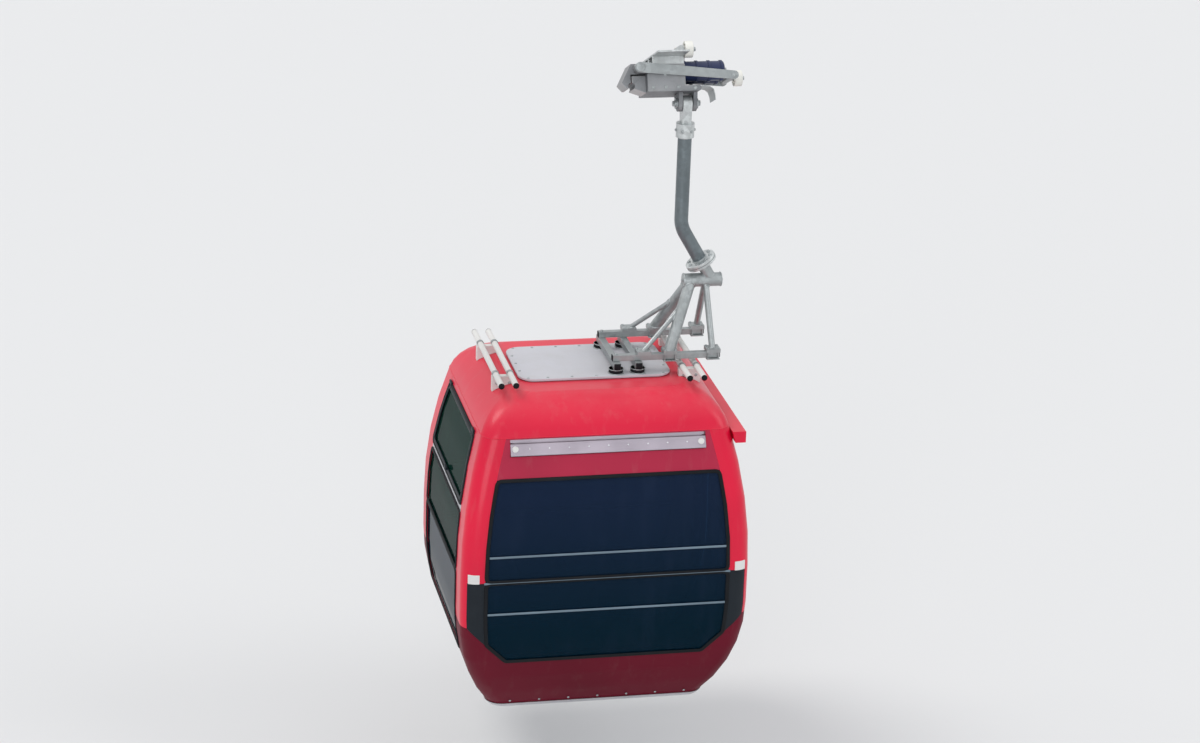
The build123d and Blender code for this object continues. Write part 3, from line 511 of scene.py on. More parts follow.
def lip_section(width, height, soft=0.3, steps=4):
    """Half-rounded strip section: flat below, rounded on top."""
    points = [(-width / 2, 0.0)]
    for angle in even(math.pi, 0.0, steps + 1):
        points.append((math.cos(angle) * width / 2, height * (soft + (1 - soft) * math.sin(angle))))
    points.append((width / 2, 0.0))
    return points


def round_corners(points, radius, steps=5):
    """A closed flat outline whose sharp turns are made into curves."""
    rounded = []
    count = len(points)
    for number in range(count):
        corner = Vector(points[number])
        back = Vector(points[number - 1]) - corner
        ahead = Vector(points[(number + 1) % count]) - corner
        half = back.angle(ahead) / 2
        if half > math.radians(80):
            rounded.append(corner)
            continue
        reach = min(radius / math.tan(half), 0.9 * back.length, 0.9 * ahead.length)
        start = corner + back.normalized() * reach
        end = corner + ahead.normalized() * reach
        for share in even(0.0, 1.0, steps + 1):
            rounded.append(
                start * (1 - share) ** 2 + corner * (2 * share * (1 - share)) + end * share**2
            )
    return rounded


def turned_ring(builder, centre, axis, rows, sides=24):
    """A closed round body from rows of (radius, level) along an axis, flat at both ends."""
    axis = Vector(axis).normalized()
    side = axis.orthogonal().normalized()
    other = axis.cross(side)
    rings = []
    for radius, level in rows:
        middle = Vector(centre) + axis * level
        rings.append([
            builder.verts.new(middle + side * x + other * y) for x, y in circle(radius, sides)
        ])
    join_rings(builder, rings)


def disc(builder, centre, axis, radius, height, sides=24, soft=0.15):
    """A round pad standing on a surface, with a softened top edge."""
    rim = min(soft * radius, 0.6 * height)
    rows = (
        (radius, 0.0),
        (radius, height - rim),
        (radius - 0.35 * rim, height - 0.3 * rim),
        (radius - rim, height),
    )
    turned_ring(builder, centre, axis, rows, sides)


def bolt(builder, centre, axis, size):
    """A washer with a hexagon head, where size is the washer's radius."""
    axis = Vector(axis).normalized()
    disc(builder, centre, axis, size, size * 0.16, 20)
    disc(builder, Vector(centre) + axis * (size * 0.16), axis, size * 0.82, size * 0.55, 6, 0.12)


def dome_head(builder, centre, axis, radius):
    """A low domed rivet or screw head."""
    rows = ((radius, 0.0), (0.95 * radius, 0.2 * radius), (0.7 * radius, 0.42 * radius),
            (0.3 * radius, 0.52 * radius))
    turned_ring(builder, centre, axis, rows, 14)


def block(builder, low, high, soft=0.003):
    """A box between two corners with softened edges."""
    made = bmesh.ops.create_cube(builder, size=1.0)
    size = Vector(high) - Vector(low)
    middle = (Vector(high) + Vector(low)) / 2
    for vertex in made["verts"]:
        vertex.co = middle + vertex.co * size
    edges = {edge for vertex in made["verts"] for edge in vertex.link_edges}
    bmesh.ops.bevel(builder, geom=list(edges), offset=soft, segments=2, affect="EDGES", profile=0.5)


def cushion(builder, low, high, steps=14, pulled=0.006):
    """A crowned pad, flat below, whose sides pull in a little between its corners."""
    low = Vector(low)
    size = Vector(high) - low
    spots = [-math.cos(angle) for angle in even(0.0, math.pi, steps + 1)]
    grids = []
    for is_top in (False, True):
        grid = []
        for v in spots:
            line = []
            for u in spots:
                x = low.x + size.x * (u + 1) / 2 - u * pulled * (1 - v * v)
                y = low.y + size.y * (v + 1) / 2 - v * pulled * (1 - u * u)
                crown = (1 - abs(u) ** 5) ** 0.5 * (1 - abs(v) ** 5) ** 0.5
                rise = 0.55 * crown + 0.3 * (1 - u * u) * (1 - v * v) if is_top else 0.0
                line.append(builder.verts.new((x, y, low.z + size.z * (0.15 + rise) * is_top)))
            grid.append(line)
        grids.append(grid)
    for grid in grids:
        for row in range(steps):
            for column in range(steps):
                builder.faces.new((grid[row][column], grid[row][column + 1],
                                   grid[row + 1][column + 1], grid[row + 1][column]))
    rims = []
    for grid in grids:
        rim = grid[0] + [line[-1] for line in grid[1:]]
        rim += list(reversed(grid[-1][:-1])) + [line[0] for line in reversed(grid[1:-1])]
        rims.append(rim)
    for index in range(len(rims[0])):
        step = (index + 1) % len(rims[0])
        builder.faces.new((rims[0][index], rims[0][step], rims[1][step], rims[1][index]))


# Places on the skin
wall_slope_step = 0.02


def skin(wall, side, across, z, out=0.0, lift=0.0):
    """A point on a wall and the wall's outward direction there. The wall is "end" or "side", its
    side -1 or 1; out shifts it level with the ground and lift square to the skin."""
    slope = (inset_at(z + wall_slope_step) - inset_at(z - wall_slope_step)) / (2 * wall_slope_step)
    if wall == "end":
        normal = Vector((0, side, slope)).normalized()
        point = Vector((centre.x + across, centre.y + side * (half_length(z) + out), z))
    else:
        normal = Vector((side, 0, slope)).normalized()
        point = Vector((centre.x + side * (half_width(z) + out), centre.y + across, z))
    return point + normal * lift, normal


def skin_strip(builder, wall, side, outline, section, closed=True, out=0.0, lift=0.0005):
    """A strip that follows an outline of (across, z) points on a wall."""
    points = [skin(wall, side, across, z, out, lift) for across, z in outline]
    path = [point for point, _ in points]
    normals = [normal for _, normal in points]
    sweep(builder, path, section, closed, normals)


def skin_panel(builder, across_low, across_high, low, high, out, thickness):
    """A thin sheet on the outer side wall, between two places across it and two heights."""
    edge = ((across_low, 0.0), (across_low, thickness), (across_high, thickness), (across_high, 0.0))
    join_rings(builder, [
        [builder.verts.new(skin("side", 1, across, z, out, lift)[0]) for across, lift in edge]
        for z in spread(low, high, 0.04)
    ])


def mirrored(outline):
    return [(-across, z) for across, z in outline]


def pane_outline(low, high, half, margin, inner=None):
    """Outline of a pane that keeps a margin from the corner, whole or from an inner upright."""
    heights = spread(low, high)
    outer = [(half(z) - margin, z) for z in heights]
    if inner is None:
        return outer + mirrored(reversed(outer))
    return outer + [(inner, z) for z in reversed(heights)]


# Rubber seals round the fixed panes
end_post = 0.145
side_post = 0.24
door_frame = 0.395
seal_inset = 0.005
seal_radius = 0.035
seal_lip = lip_section(0.024, 0.008)
low_lip = lip_section(0.022, 0.0022)
horn_run = 0.245
horn_tip_inset = 0.034
horn_meet_rise = 0.15
horn_foot_x = half_width(knee_z) - horn_run
horn_tip_x = half_width(horn_z) - horn_tip_inset
horn_slope = (horn_z - knee_z) / (horn_tip_x - horn_foot_x)
horn_meet_x = half_width(knee_z + horn_meet_rise) - end_post
horn_meet_z = knee_z + (horn_meet_x - horn_foot_x) * horn_slope


def lower_outline(inset):
    """The lower end pane: square at the belt, its lower corners cut by the rising skirt."""
    right = [
        (horn_foot_x - inset, knee_z + inset),
        (horn_meet_x - inset, horn_meet_z + inset),
    ]
    heights = spread(horn_meet_z, belt_z - inset)[1:]
    right += [(half_width(z) - end_post - inset, z) for z in heights]
    return right + mirrored(reversed(right))


seals = bmesh.new()
end_top_z = span("glass_end_upper")[1]
upper_outline = pane_outline(
    belt_z + seal_inset, end_top_z - seal_inset, half_width, end_post + seal_inset
)
for side in (-1, 1):
    for outline in (lower_outline(seal_inset), upper_outline):
        skin_strip(seals, "end", side, round_corners(outline, seal_radius), seal_lip)
for low, high in ((knee_z, belt_z), span("glass_inner_upper"), span("vent_sash")):
    outline = pane_outline(low + seal_inset, high - seal_inset, half_length, side_post + seal_inset)
    skin_strip(seals, "side", -1, round_corners(outline, seal_radius), seal_lip)
for low, high in ((knee_z, belt_z), span("glass_outer_upper")):
    outline = pane_outline(
        low + seal_inset, high - seal_inset, half_length, side_post + seal_inset,
        door_frame + seal_inset,
    )
    for turned in (outline, mirrored(outline)):
        skin_strip(seals, "side", 1, round_corners(turned, 0.6 * seal_radius), low_lip)
add_piece("window_seals", seals, "rubber")

# Thin cover strips across the end windows: one over the joint of the panes, which reaches over the
# posts' edges, and one above and one below it, which end short of them
strips = bmesh.new()
strip_section = lip_section(0.014, 0.005, 0.6)
strip_lift = 0.003
for side in (-1, 1):
    for rise, shortened in ((0.170, 0.018), (0.0, -0.008), (-0.214, 0.018)):
        z = belt_z + rise
        reach = half_width(z) - end_post - shortened
        line = [(across, z) for across in even(-reach, reach, 9)]
        skin_strip(strips, "end", side, line, strip_section, False, 0.0, strip_lift)
add_piece("window_strips", strips, "aluminium", finish=dark_strip)

# Frame of the opening sash on the inner side, its hinges above and its latch below
sash_low_z, sash_high_z = span("vent_sash")
sash_frame = bmesh.new()
frame_inset = 0.026
frame_height = 0.007
frame_lip = lip_section(0.022, frame_height, 0.6)
hinge_places = (-0.42, 0.42)
outline = pane_outline(
    sash_low_z + frame_inset, sash_high_z - frame_inset, half_length, side_post + frame_inset
)
skin_strip(sash_frame, "side", -1, round_corners(outline, 0.03), frame_lip)
for across in hinge_places:
    for shift in (-0.02, 0.02):
        place = skin("side", -1, across + shift, sash_high_z - frame_inset, 0.0, frame_height)
        dome_head(sash_frame, *place, 0.006)
add_piece("sash_frame", sash_frame, "black_frame")

latches = bmesh.new()
for across in hinge_places:
    place, _ = skin("side", -1, across, sash_high_z + 0.004, 0.0, 0.001)
    block(latches, place - Vector((0.012, 0.035, 0.012)), place + Vector((0.002, 0.035, 0.012)))
latch_rise = 0.012
place, _ = skin("side", -1, 0.0, sash_low_z + frame_inset + latch_rise, 0.0, 0.004)
block(latches, place - Vector((0.016, 0.03, 0.01)), place + Vector((0.0, 0.03, 0.01)))
add_piece("sash_hardware", latches, "black_frame")

# Roof: sealant bead along the eave, screws round the lid, and the plugs, bolts and straps of the
# rails
eave_bead = bmesh.new()
eave_corner = 0.1
eave_half = (half_width(eave_z) - eave_corner, half_length(eave_z) - eave_corner)
eave_path = []
for quarter, (side_x, side_y) in enumerate(((1, 1), (-1, 1), (-1, -1), (1, -1))):
    for angle in even(quarter * math.pi / 2, (quarter + 1) * math.pi / 2, 9):
        eave_path.append(Vector((
            centre.x + side_x * eave_half[0] + eave_corner * math.cos(angle),
            centre.y + side_y * eave_half[1] + eave_corner * math.sin(angle),
            eave_z,
        )))
sweep(eave_bead, eave_path, circle(0.0025, 8), True)
add_piece("eave_bead", eave_bead, "red_paint")

lid_screws = bmesh.new()
lid_margin = 0.025
lid_screw = 0.009
corner_set = 0.03
lid_x = even(lid_low.x + lid_margin, lid_high.x - lid_margin, 7)
lid_y = even(lid_low.y + lid_margin, lid_high.y - lid_margin, 5)
lid_row = [lid_x[0] + corner_set, *lid_x[1:-1], lid_x[-1] - corner_set]
lid_places = [(x, y) for x in lid_row for y in (lid_y[0], lid_y[-1])]
lid_places += [(x, y) for y in lid_y[1:-1] for x in (lid_x[0], lid_x[-1])]
for x, y in lid_places:
    dome_head(lid_screws, (x, y, lid_high.z), upright, lid_screw)
add_piece("lid_screws", lid_screws, "galvanised")

rails_low, rails_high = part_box("roof_rails")
rail_radius = (rails_high.z - rails_low.z) / 2
rail_z = (rails_low.z + rails_high.z) / 2
rail_pitch = 0.092
rail_lines = from_edges(rails_low.x, rails_high.x, rail_radius, rail_radius + rail_pitch)
plug_rows = ((0.0185, -0.004), (0.0195, 0.0), (0.0185, 0.004), (0.012, 0.0075), (0.004, 0.009))
rail_ends = bmesh.new()
for x in rail_lines:
    for side, y in ((-1, rails_low.y), (1, rails_high.y)):
        turned_ring(rail_ends, (x, y, rail_z), (0, side, 0), plug_rows)
add_piece("rail_plugs", rail_ends, "rubber")

brackets_low, brackets_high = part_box("rail_brackets")
bracket_width = 0.04
bracket_bolt_drop = 0.045
bracket_bolts = bmesh.new()
for side, y in ((-1, brackets_low.y), (1, brackets_high.y)):
    for x in from_edges(brackets_low.x, brackets_high.x, 0.03, 0.11):
        bolt(bracket_bolts, (x, y, brackets_high.z - bracket_bolt_drop), (0, side, 0), 0.010)
add_piece("rail_bracket_bolts", bracket_bolts, "galvanised")

rail_straps = bmesh.new()
strap_radius = rail_radius + 0.0015
strap_section = [(-0.011, 0), (-0.011, 0.003), (0.011, 0.003), (0.011, 0)]
strap_out = [Vector((math.cos(angle), 0, math.sin(angle))) for angle in even(0.0, math.pi, 13)]
for y in from_edges(brackets_low.y, brackets_high.y, bracket_width / 2):
    for x in rail_lines:
        arch = [Vector((x, y, rail_z)) + out * strap_radius for out in strap_out]
        sweep(rail_straps, arch, strap_section, False, strap_out)
add_piece("rail_straps", rail_straps, "galvanised")

# Vents: pale end caps on the blade and rivets along it
vent_low, vent_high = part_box("vent_ends")
vent_caps = bmesh.new()
vent_rivets = bmesh.new()
blade_low = vent_low.z + 0.018
blade_high = blade_low + 0.058
blade_half = (vent_high.x - vent_low.x) / 2
blade_top_inset = 0.004
blade_tip_outset = 0.014
for side in (-1, 1):
    top_y = half_length(blade_high) - blade_top_inset
    tip_y = half_length(blade_low) + blade_tip_outset
    middle = Vector((centre.x, centre.y + side * (top_y + tip_y) / 2, (blade_low + blade_high) / 2))
    normal = Vector((0, side * (blade_high - blade_low), tip_y - top_y)).normalized()
    for across in from_edges(-blade_half, blade_half, 0.03):
        disc(vent_caps, middle + Vector((across, 0, 0)), normal, 0.020, 0.006)
    for across in pitched(0.125, 9):
        dome_head(vent_rivets, middle + Vector((across, 0, 0)), normal, 0.006)
add_piece("vent_caps", vent_caps, "white_paint")
add_piece("vent_rivets", vent_rivets, "aluminium")

# Skirt: screws along the lower edge of both ends and of the inner side
skirt_screws = bmesh.new()
skirt_screw_z = underside_z + 0.055
for wall, side, places in (
    ("end", -1, pitched(0.19, 7)),
    ("end", 1, pitched(0.19, 7)),
    ("side", -1, pitched(0.2, 5)),
):
    for across in places:
        dome_head(skirt_screws, *skin(wall, side, across, skirt_screw_z), 0.008)
add_piece("skirt_screws", skirt_screws, "galvanised")

# Doors: pane seals, closing edges, the lower skin in the skirt's dark red (painted shade) and screws
door_out = 0.038
door_rail = 0.04
door_seal_inset = 0.004
door_seal_near = 0.0475 + door_seal_inset
door_seal_far = 0.332 - door_seal_inset
closing_edge = 0.016
edge_inset = 0.01
skin_near = 0.0265
skin_far = 0.3735
skin_thickness = 0.0015
door_lip = lip_section(0.020, 0.007)
edge_lip = lip_section(0.022, 0.009, 0.5)
door_low_z, door_high_z = span("door_near")
glass_low_z, glass_high_z = span("door_near_glass")
door_screw_levels = (door_low_z + 0.06, belt_z, door_high_z - 0.035)
for name, side in (("near", -1), ("far", 1)):
    door_seals = bmesh.new()
    for low, high in ((glass_low_z, belt_z - door_rail), (belt_z + door_rail, glass_high_z)):
        heights = spread(low + door_seal_inset, high - door_seal_inset)
        outline = [(side * door_seal_far, z) for z in heights]
        outline += [(side * door_seal_near, z) for z in reversed(heights)]
        skin_strip(door_seals, "side", 1, round_corners(outline, 0.028), door_lip, True, door_out)
    edge = [(side * closing_edge, z) for z in spread(door_low_z + edge_inset, door_high_z - edge_inset)]
    skin_strip(door_seals, "side", 1, edge, edge_lip, False, door_out)
    add_piece(f"door_{name}_seals", door_seals, "rubber", f"door_{name}")
    kick = bmesh.new()
    kick_low_z = door_low_z + 0.004
    skin_panel(kick, side * skin_near, side * skin_far, kick_low_z, knee_z, door_out, skin_thickness)
    add_piece(f"door_{name}_kick", kick, "dark_red_paint", f"door_{name}")
    door_screws = bmesh.new()
    for across in (0.06, 0.19, 0.32):
        for z in door_screw_levels:
            dome_head(door_screws, *skin("side", 1, side * across, z, door_out), 0.006)
    add_piece(f"door_{name}_screws", door_screws, "galvanised", f"door_{name}")

# Door track and guide: screws along their faces, and plates that close their ends
track_screws = bmesh.new()
for name, places, radius in (
    ("door_track", pitched(0.16, 9), 0.007),
    ("door_guide", pitched(0.13, 7), 0.006),
):
    low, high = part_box(name)
    for y in places:
        dome_head(track_screws, (high.x, centre.y + y, (low.z + high.z) / 2), (1, 0, 0), radius)
add_piece("track_screws", track_screws, "galvanised")

plate_gap = 0.002
plate_thickness = 0.003
for name, slot in (("track", "red_paint"), ("guide", "dark_red_paint")):
    low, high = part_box(f"door_{name}")
    edge = [(high.x, high.z), (high.x, low.z)]
    edge += [(centre.x + half_width(z) + plate_gap, z) for z in spread(low.z, high.z, 0.02)]
    end_plates = bmesh.new()
    for side, y in ((-1, low.y), (1, high.y)):
        join_rings(end_plates, [
            [end_plates.verts.new((x, place_y, z)) for x, z in edge]
            for place_y in (y, y + side * plate_thickness)
        ])
    add_piece(f"{name}_end_plates", end_plates, slot)

# Seat pads on both benches, four each
bench_z = span("benches")[1]
pad_pitch = 0.33
pad_width = 0.305
pad_depth = 0.28
pad_height = 0.034
pad_gap = 0.0005
back_y = half_length(bench_z) - 0.055
pads = bmesh.new()
for near, far in ((-back_y, pad_depth - back_y), (back_y - pad_depth, back_y)):
    for across in pitched(pad_pitch, 4):
        x = centre.x + across
        low = Vector((x - pad_width / 2, centre.y + near, bench_z + pad_gap))
        high = Vector((x + pad_width / 2, centre.y + far, bench_z + pad_height))
        cushion(pads, low, high)
pad_piece = add_piece("seat_pads", pads, "seat", finish=seat_cover)

# Frame on the roof: end plugs in the beams, bolts, and the plates of the rubber mounts
beams_low, beams_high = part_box("cross_beams")
long_low, long_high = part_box("long_beams")
mounts_low, mounts_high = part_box("rubber_mounts")
hang_y = (beams_low.y + beams_high.y) / 2
beam_lines = from_edges(beams_low.y, beams_high.y, 0.02)
long_lines = from_edges(long_low.x, long_high.x, 0.0225)
beam_z = (beams_low.z + beams_high.z) / 2
long_z = (long_low.z + long_high.z) / 2
cross_plug = Vector((0.004, 0.019, 0.019))
long_plug = Vector((0.021, 0.004, 0.021))
plug_places = [((x, y, beam_z), cross_plug) for y in beam_lines for x in (beams_low.x, beams_high.x)]
plug_places += [((x, y, long_z), long_plug) for x in long_lines for y in (long_low.y, long_high.y)]
plugs = bmesh.new()
for place, half_size in plug_places:
    block(plugs, Vector(place) - half_size, Vector(place) + half_size)
add_piece("beam_plugs", plugs, "rubber")


foot_half = (0.034, 0.031)


def foot_corners(x, y):
    """Places of the four bolts of a foot."""
    half_x, half_y = foot_half
    return [(x + side_x * half_x, y + side_y * half_y) for side_x in (-1, 1) for side_y in (-1, 1)]


frame_bolts = bmesh.new()
foot_places = (0.095, 0.265, 0.545)
yoke_foot_z = span("yoke")[0]
foot_top_z = yoke_foot_z + 0.024
mount_half = 0.045
for y in beam_lines:
    for foot_x in foot_places:
        for bolt_x, bolt_y in foot_corners(foot_x, y):
            bolt(frame_bolts, (bolt_x, bolt_y, foot_top_z), upright, 0.009)
    for x in long_lines:
        bolt(frame_bolts, (x, y, beams_high.z), upright, 0.011)
for x in from_edges(mounts_low.x, mounts_high.x, mount_half):
    for y in from_edges(mounts_low.y, mounts_high.y, mount_half):
        disc(frame_bolts, (x, y, mounts_low.z), upright, 0.052, 0.005)
        disc(frame_bolts, (x, y, mounts_high.z - 0.004), upright, 0.048, 0.004)
add_piece("frame_bolts", frame_bolts, "galvanised")

# Clamp plates with their bolts under the cross beams, below the feet that clear the long beams
clamps = bmesh.new()
clamp_clearance = 0.05
rod_rows = ((0.005, 0.0), (0.005, beams_high.z - beams_low.z))
for y in beam_lines:
    for foot_x in foot_places:
        if foot_x < long_high.x + clamp_clearance:
            continue
        low = Vector((foot_x - 0.042, y - 0.040, beams_low.z - 0.008))
        block(clamps, low, low + Vector((0.084, 0.080, 0.0075)), 0.002)
        for bolt_x, bolt_y in foot_corners(foot_x, y):
            turned_ring(clamps, (bolt_x, bolt_y, beams_low.z), upright, rod_rows, 10)
add_piece("beam_clamps", clamps, "galvanised")


# Weld beads where the tubes of the hanger meet and at the ends of its arm
def plane_reach(start, ahead):
    """How far a line runs until it meets the top of the feet."""
    return (foot_top_z - start.z) / ahead.z


def tube_reach(point, axis, radius):
    """How far a line from inside a tube runs until it leaves the tube's wall."""

    def leave(start, ahead):
        along = Vector(axis).normalized()
        offset = (start - Vector(point)) - along * (start - Vector(point)).dot(along)
        flat = ahead - along * ahead.dot(along)
        a = flat.dot(flat)
        b = 2 * offset.dot(flat)
        c = offset.dot(offset) - radius**2
        return (-b + math.sqrt(max(0.0, b * b - 4 * a * c))) / (2 * a)

    return leave


def weld(builder, start, ahead, radius, meets=None, bead=0.006):
    """A bead round a tube, at its start or where each line of its wall meets another surface."""
    ahead = Vector(ahead).normalized()
    side = ahead.orthogonal().normalized()
    other = ahead.cross(side)
    path = []
    for x, y in circle(radius, 40):
        line = Vector(start) + side * x + other * y
        path.append(line + ahead * (meets(line, ahead) if meets else 0.0))
    sweep(builder, path, circle(bead, 8), True)


hub_z = -1.262
hub_radius = 0.044
hub_reach = tube_reach((0, hang_y, hub_z), (1, 0, 0), hub_radius)
arm_low, arm_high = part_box("hanger_arm")
arm_radius = (arm_high.y - arm_low.y) / 2
arm_x = arm_low.x + arm_radius
arm_top = Vector((arm_x, hang_y, arm_high.z))
arm_bend = Vector((arm_x, hang_y, -0.90))
arm_end = Vector((0.490, hang_y, -1.12))
arm_ahead = (arm_end - arm_bend).normalized()
flange_depth = 0.036
neck_start = arm_end + arm_ahead * flange_depth
neck_radius = 0.038
leg_radius = 0.036
strut_radius = 0.020
brace_radius = 0.015
foot_z = yoke_foot_z + 0.012
welds = bmesh.new()
for side in (-1, 1):
    foot_y = hang_y + side * 0.22
    leg_top = Vector((0.440, hang_y, hub_z))
    leg = Vector((foot_places[1], foot_y, foot_z)) - leg_top
    strut_top = Vector((0.535, hang_y, hub_z))
    strut = Vector((foot_places[2], foot_y, foot_z)) - strut_top
    for top, ahead, radius in ((leg_top, leg, leg_radius), (strut_top, strut, strut_radius)):
        weld(welds, top, ahead, radius, hub_reach)
        weld(welds, top, ahead, radius, plane_reach)
    brace_top = leg_top + leg * 0.35
    brace = Vector((foot_places[0], foot_y, foot_z)) - brace_top
    weld(welds, brace_top, brace, brace_radius, tube_reach(leg_top, leg, leg_radius))
    weld(welds, brace_top, brace, brace_radius, plane_reach, 0.005)
weld(welds, neck_start, arm_ahead, neck_radius, bead=0.007)
weld(welds, arm_end, -arm_ahead, arm_radius, bead=0.007)
weld(welds, arm_top, -upright, arm_radius, bead=0.007)
add_piece("hanger_welds", welds, "galvanised")

# Flange bolts and nuts, caps on the hub, and bolts round the collar of the hanger's head
hanger_bolts = bmesh.new()
flange_side = arm_ahead.orthogonal().normalized()
flange_other = arm_ahead.cross(flange_side)
for x, y in circle(0.076, 8, 0.5):
    out = flange_side * x + flange_other * y
    bolt(hanger_bolts, arm_end + out, -arm_ahead, 0.013)
    bolt(hanger_bolts, neck_start + out, arm_ahead, 0.013)
collar = Vector((arm_x, hang_y, span("hanger_head")[0] + 0.045))
for x, y in circle(0.058, 6):
    out = Vector((x, y, 0))
    bolt(hanger_bolts, collar + out, out, 0.011)
hub_cap = 0.008
for side, x in ((-1, 0.395), (1, 0.630)):
    disc(hanger_bolts, (x, hang_y, hub_z), (side, 0, 0), 0.047, hub_cap)
    bolt(hanger_bolts, (x + side * hub_cap, hang_y, hub_z), (side, 0, 0), 0.014)
add_piece("hanger_bolts", hanger_bolts, "galvanised")

# A ring that shows the joint between the two flanges
flange_joint = bmesh.new()
joint_rows = ((0.0985, -0.0015), (0.1008, -0.001), (0.1008, 0.001), (0.0985, 0.0015))
turned_ring(flange_joint, arm_end + arm_ahead * (flange_depth / 2), arm_ahead, joint_rows, 48)
add_piece("flange_joint", flange_joint, "rubber")

# Grip: its places are given across, along and square to the rope
rope_slope = math.radians(24.0)


def on_rope(x, y, z):
    """A point given across, along and square to the rope."""
    return Vector((
        x,
        y * math.cos(rope_slope) + z * math.sin(rope_slope),
        -y * math.sin(rope_slope) + z * math.cos(rope_slope),
    ))


def pair(x, y, z):
    """A place on each side of the grip."""
    return [(x, side * y, z) for side in (-1, 1)]


def hub_heads(builder, x, y, z, reach, radius):
    """Six screw heads round a place on the grip."""
    for turned_y, turned_z in circle(reach, 6):
        dome_head(builder, on_rope(x, y + turned_y, z + turned_z), crosswise, radius)


along = on_rope(0, 1, 0)
square = on_rope(0, 0, 1)
crosswise = Vector((1, 0, 0))
body_top = 0.125
drive_top = 0.187
cheek_y = 0.14
body_bolts = [(0.12, y) for y in (-0.118, -0.04, 0.04, 0.118)]
body_bolts += [(0.305, y) for y in (-0.118, 0.118)]
cheek_bolts = (
    (0.125, -0.02), (0.205, -0.02), (0.285, -0.02), (0.205, 0.06), (0.285, 0.09), (0.39, -0.028),
)
axle_ends = pair(0.395, 0.125, 0.215)
spring_ends = pair(0.590, 0.07, 0.085)
shaft_ends = pair(0.045, 0.164, 0.105)
lever_bolts = pair(0.640, 0.162, 0.045)
lever_end = (0.726, 0.0, 0.045)
grip_bolts = bmesh.new()
for x, y in body_bolts:
    bolt(grip_bolts, on_rope(x, y, body_top), square, 0.011)
for x in (0.16, 0.30):
    for y in pitched(0.13, 5):
        dome_head(grip_bolts, on_rope(x, y, drive_top), square, 0.009)
for side in (-1, 1):
    for x, z in cheek_bolts:
        bolt(grip_bolts, on_rope(x, side * cheek_y, z), along * side, 0.011)
for place in axle_ends:
    bolt(grip_bolts, on_rope(*place), crosswise, 0.017)
for place in spring_ends:
    bolt(grip_bolts, on_rope(*place), crosswise, 0.026)
    hub_heads(grip_bolts, *place, 0.040, 0.006)
pin_place = on_rope(0, 0, -0.105)
for side, x in ((-1, 0.289), (1, 0.431)):
    bolt(grip_bolts, (x, pin_place.y, pin_place.z), (side, 0, 0), 0.024)
add_piece("grip_bolts", grip_bolts, "galvanised", "grip")

# Bent guide plate on the grip's shelf, with its bolts
plate_half = 0.07
plate_top = -0.0045
plate_section = [(-plate_half, -0.001), (-plate_half, 0.004), (plate_half, 0.004), (plate_half, -0.001)]
plate_profile = (
    (0.345, -0.0085), (0.47, -0.0085), (0.500, -0.014), (0.520, -0.030), (0.528, -0.062),
    (0.530, -0.095),
)
plate_path = [on_rope(x, 0, z) for x, z in plate_profile]
guide_plate = bmesh.new()
sweep(guide_plate, plate_path, plate_section, False, square)
for x in (0.375, 0.42):
    for y in (-0.045, 0.045):
        bolt(guide_plate, on_rope(x, y, plate_top), square, 0.009)
add_piece("guide_plate", guide_plate, "galvanised", "grip")

# Caps on the jaw shaft, the lever's bolts and the nut of its roller
jaw_caps = bmesh.new()
shaft_rows = ((0.030, -0.004), (0.030, 0.004), (0.027, 0.008), (0.012, 0.010))
for side, shaft_end, lever_bolt in zip((-1, 1), shaft_ends, lever_bolts):
    turned_ring(jaw_caps, on_rope(*shaft_end), along * side, shaft_rows)
    bolt(jaw_caps, on_rope(*lever_bolt), along * side, 0.018)
bolt(jaw_caps, on_rope(*lever_end), crosswise, 0.017)
add_piece("jaw_caps", jaw_caps, "galvanised", "jaw")

# Studs round the hubs of the rollers
for name, body, place in (
    ("running_roller_near", "running_wheel_near", (0.371, -0.125, 0.215)),
    ("running_roller_far", "running_wheel_far", (0.371, 0.125, 0.215)),
    ("opening_roller", "opening_wheel", (0.707, 0.0, 0.045)),
):
    studs = bmesh.new()
    hub_heads(studs, *place, 0.030, 0.0045)
    add_piece(f"{name}_studs", studs, "galvanised", body)

# Camera: the photograph's viewpoint, turned to the object, with a lens that frames it. Its small
# roll leans the uprights as they lean in the photograph.
camera_place = Vector((-4.316, -19.02, 5.39))
camera_aim = Vector((-0.13, -0.04, -1.86))
camera_roll = math.radians(2.0)
view_height = 4.75
view_aspect = 1200 / 743
camera_data = bpy.data.cameras.new("camera")
camera = bpy.data.objects.new("camera", camera_data)
bpy.context.scene.collection.objects.link(camera)
camera.location = camera_place
camera_turn = (camera_aim - camera_place).to_track_quat("-Z", "Y").to_matrix()
camera.rotation_euler = (camera_turn @ Matrix.Rotation(camera_roll, 3, "Z")).to_euler()
camera_data.sensor_width = 36.0
distance = (camera_aim - camera_place).length
camera_data.lens = camera_data.sensor_width * distance / (view_height * view_aspect)
camera_data.clip_end = 200.0
bpy.context.scene.camera = camera

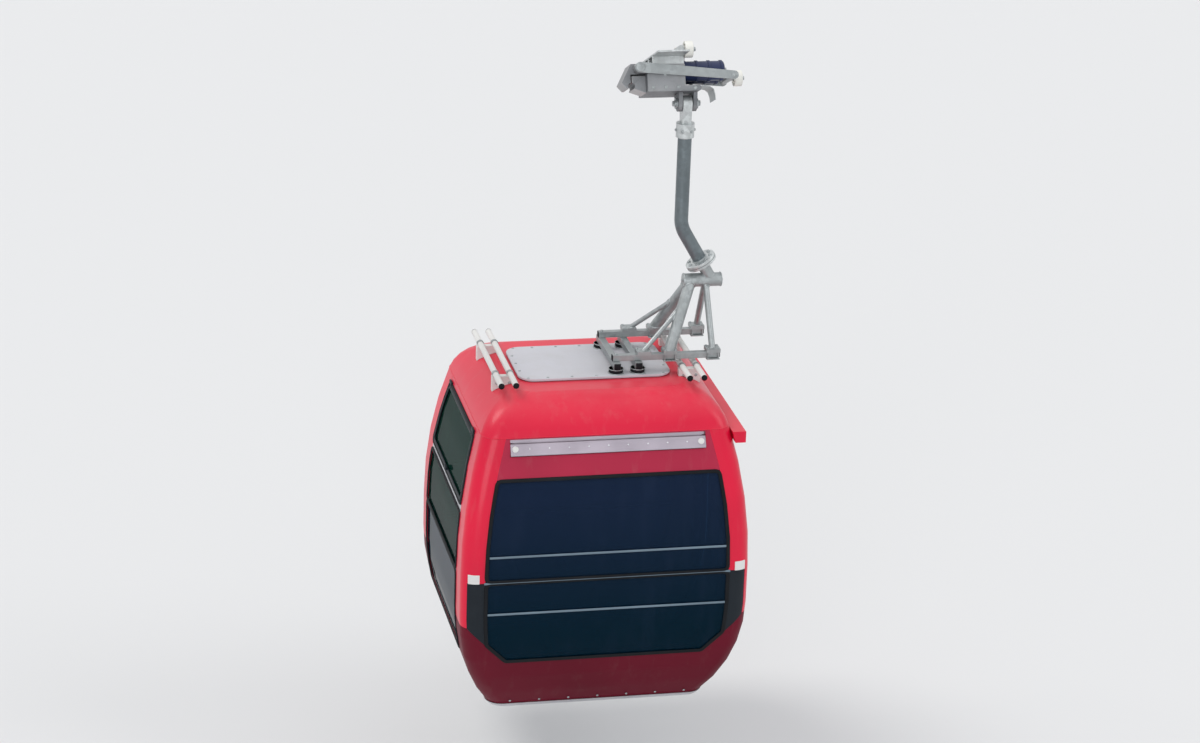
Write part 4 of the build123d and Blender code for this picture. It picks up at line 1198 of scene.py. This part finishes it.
# Stage: a wide pale floor below the hanging cabin. Rays that show it, and not those that light the
# object, see it a little brighter, and see the world beyond its edge in the same tone. It can be
# looked through from below.
floor_z = underside_z - 0.55
floor_radius = 90.0
floor_glow = 0.16
backdrop_colour = (0.830, 0.840, 0.853)
ground = Shade("stage")
ground.set(Base_Color=(0.58, 0.58, 0.58), Roughness=0.9, Specular_IOR_Level=0.1)
ground.set(Emission_Color=(0.97, 0.98, 1.0))
ground.set(Emission_Strength=ground.maths("MULTIPLY", ground.shown(), floor_glow))
ground.see_through(ground.geometry("Backfacing"))
stage = bmesh.new()
bmesh.ops.create_circle(stage, cap_ends=True, radius=floor_radius, segments=64)
stage_mesh = bpy.data.meshes.new("stage")
stage.to_mesh(stage_mesh)
stage.free()
backdrop = bpy.data.objects.new("stage", stage_mesh)
backdrop.location = (0, 0, floor_z)
bpy.context.scene.collection.objects.link(backdrop)
stage_mesh.materials.append(ground.material)

# Light: a world that is brighter overhead, and three soft suns
sky_low = (0.36, 0.37, 0.39)
sky_high = (0.80, 0.82, 0.85)
world = bpy.data.worlds.new("world")
bpy.context.scene.world = world
air = Tree(world)
direction = air.node("ShaderNodeTexCoord").outputs["Generated"]
sky = air.mix(air.upward(direction), sky_low, sky_high)
background = air.tree.nodes["Background"]
air.give(background.inputs["Color"], air.mix(air.shown(), sky, backdrop_colour))
air.give(background.inputs["Strength"], 1.0)


def soft_sun(name, toward, strength, angle, colour=(1.0, 1.0, 1.0)):
    """A lamp that shines from one direction, where toward points from the object to the lamp."""
    data = bpy.data.lights.new(name, "SUN")
    data.energy = strength
    data.angle = math.radians(angle)
    data.color = colour
    lamp = bpy.data.objects.new(name, data)
    bpy.context.scene.collection.objects.link(lamp)
    lamp.rotation_euler = Vector(toward).to_track_quat("Z", "Y").to_euler()


soft_sun("key", (-0.55, 0.25, 1.0), 1.15, 28.0, (1.0, 0.98, 0.95))
soft_sun("rim", (1.0, -0.35, 0.7), 0.55, 30.0)
soft_sun("fill", (-0.35, -1.0, 0.30), 1.0, 40.0, (0.96, 0.98, 1.0))

bpy.context.scene.view_settings.view_transform = "Standard"
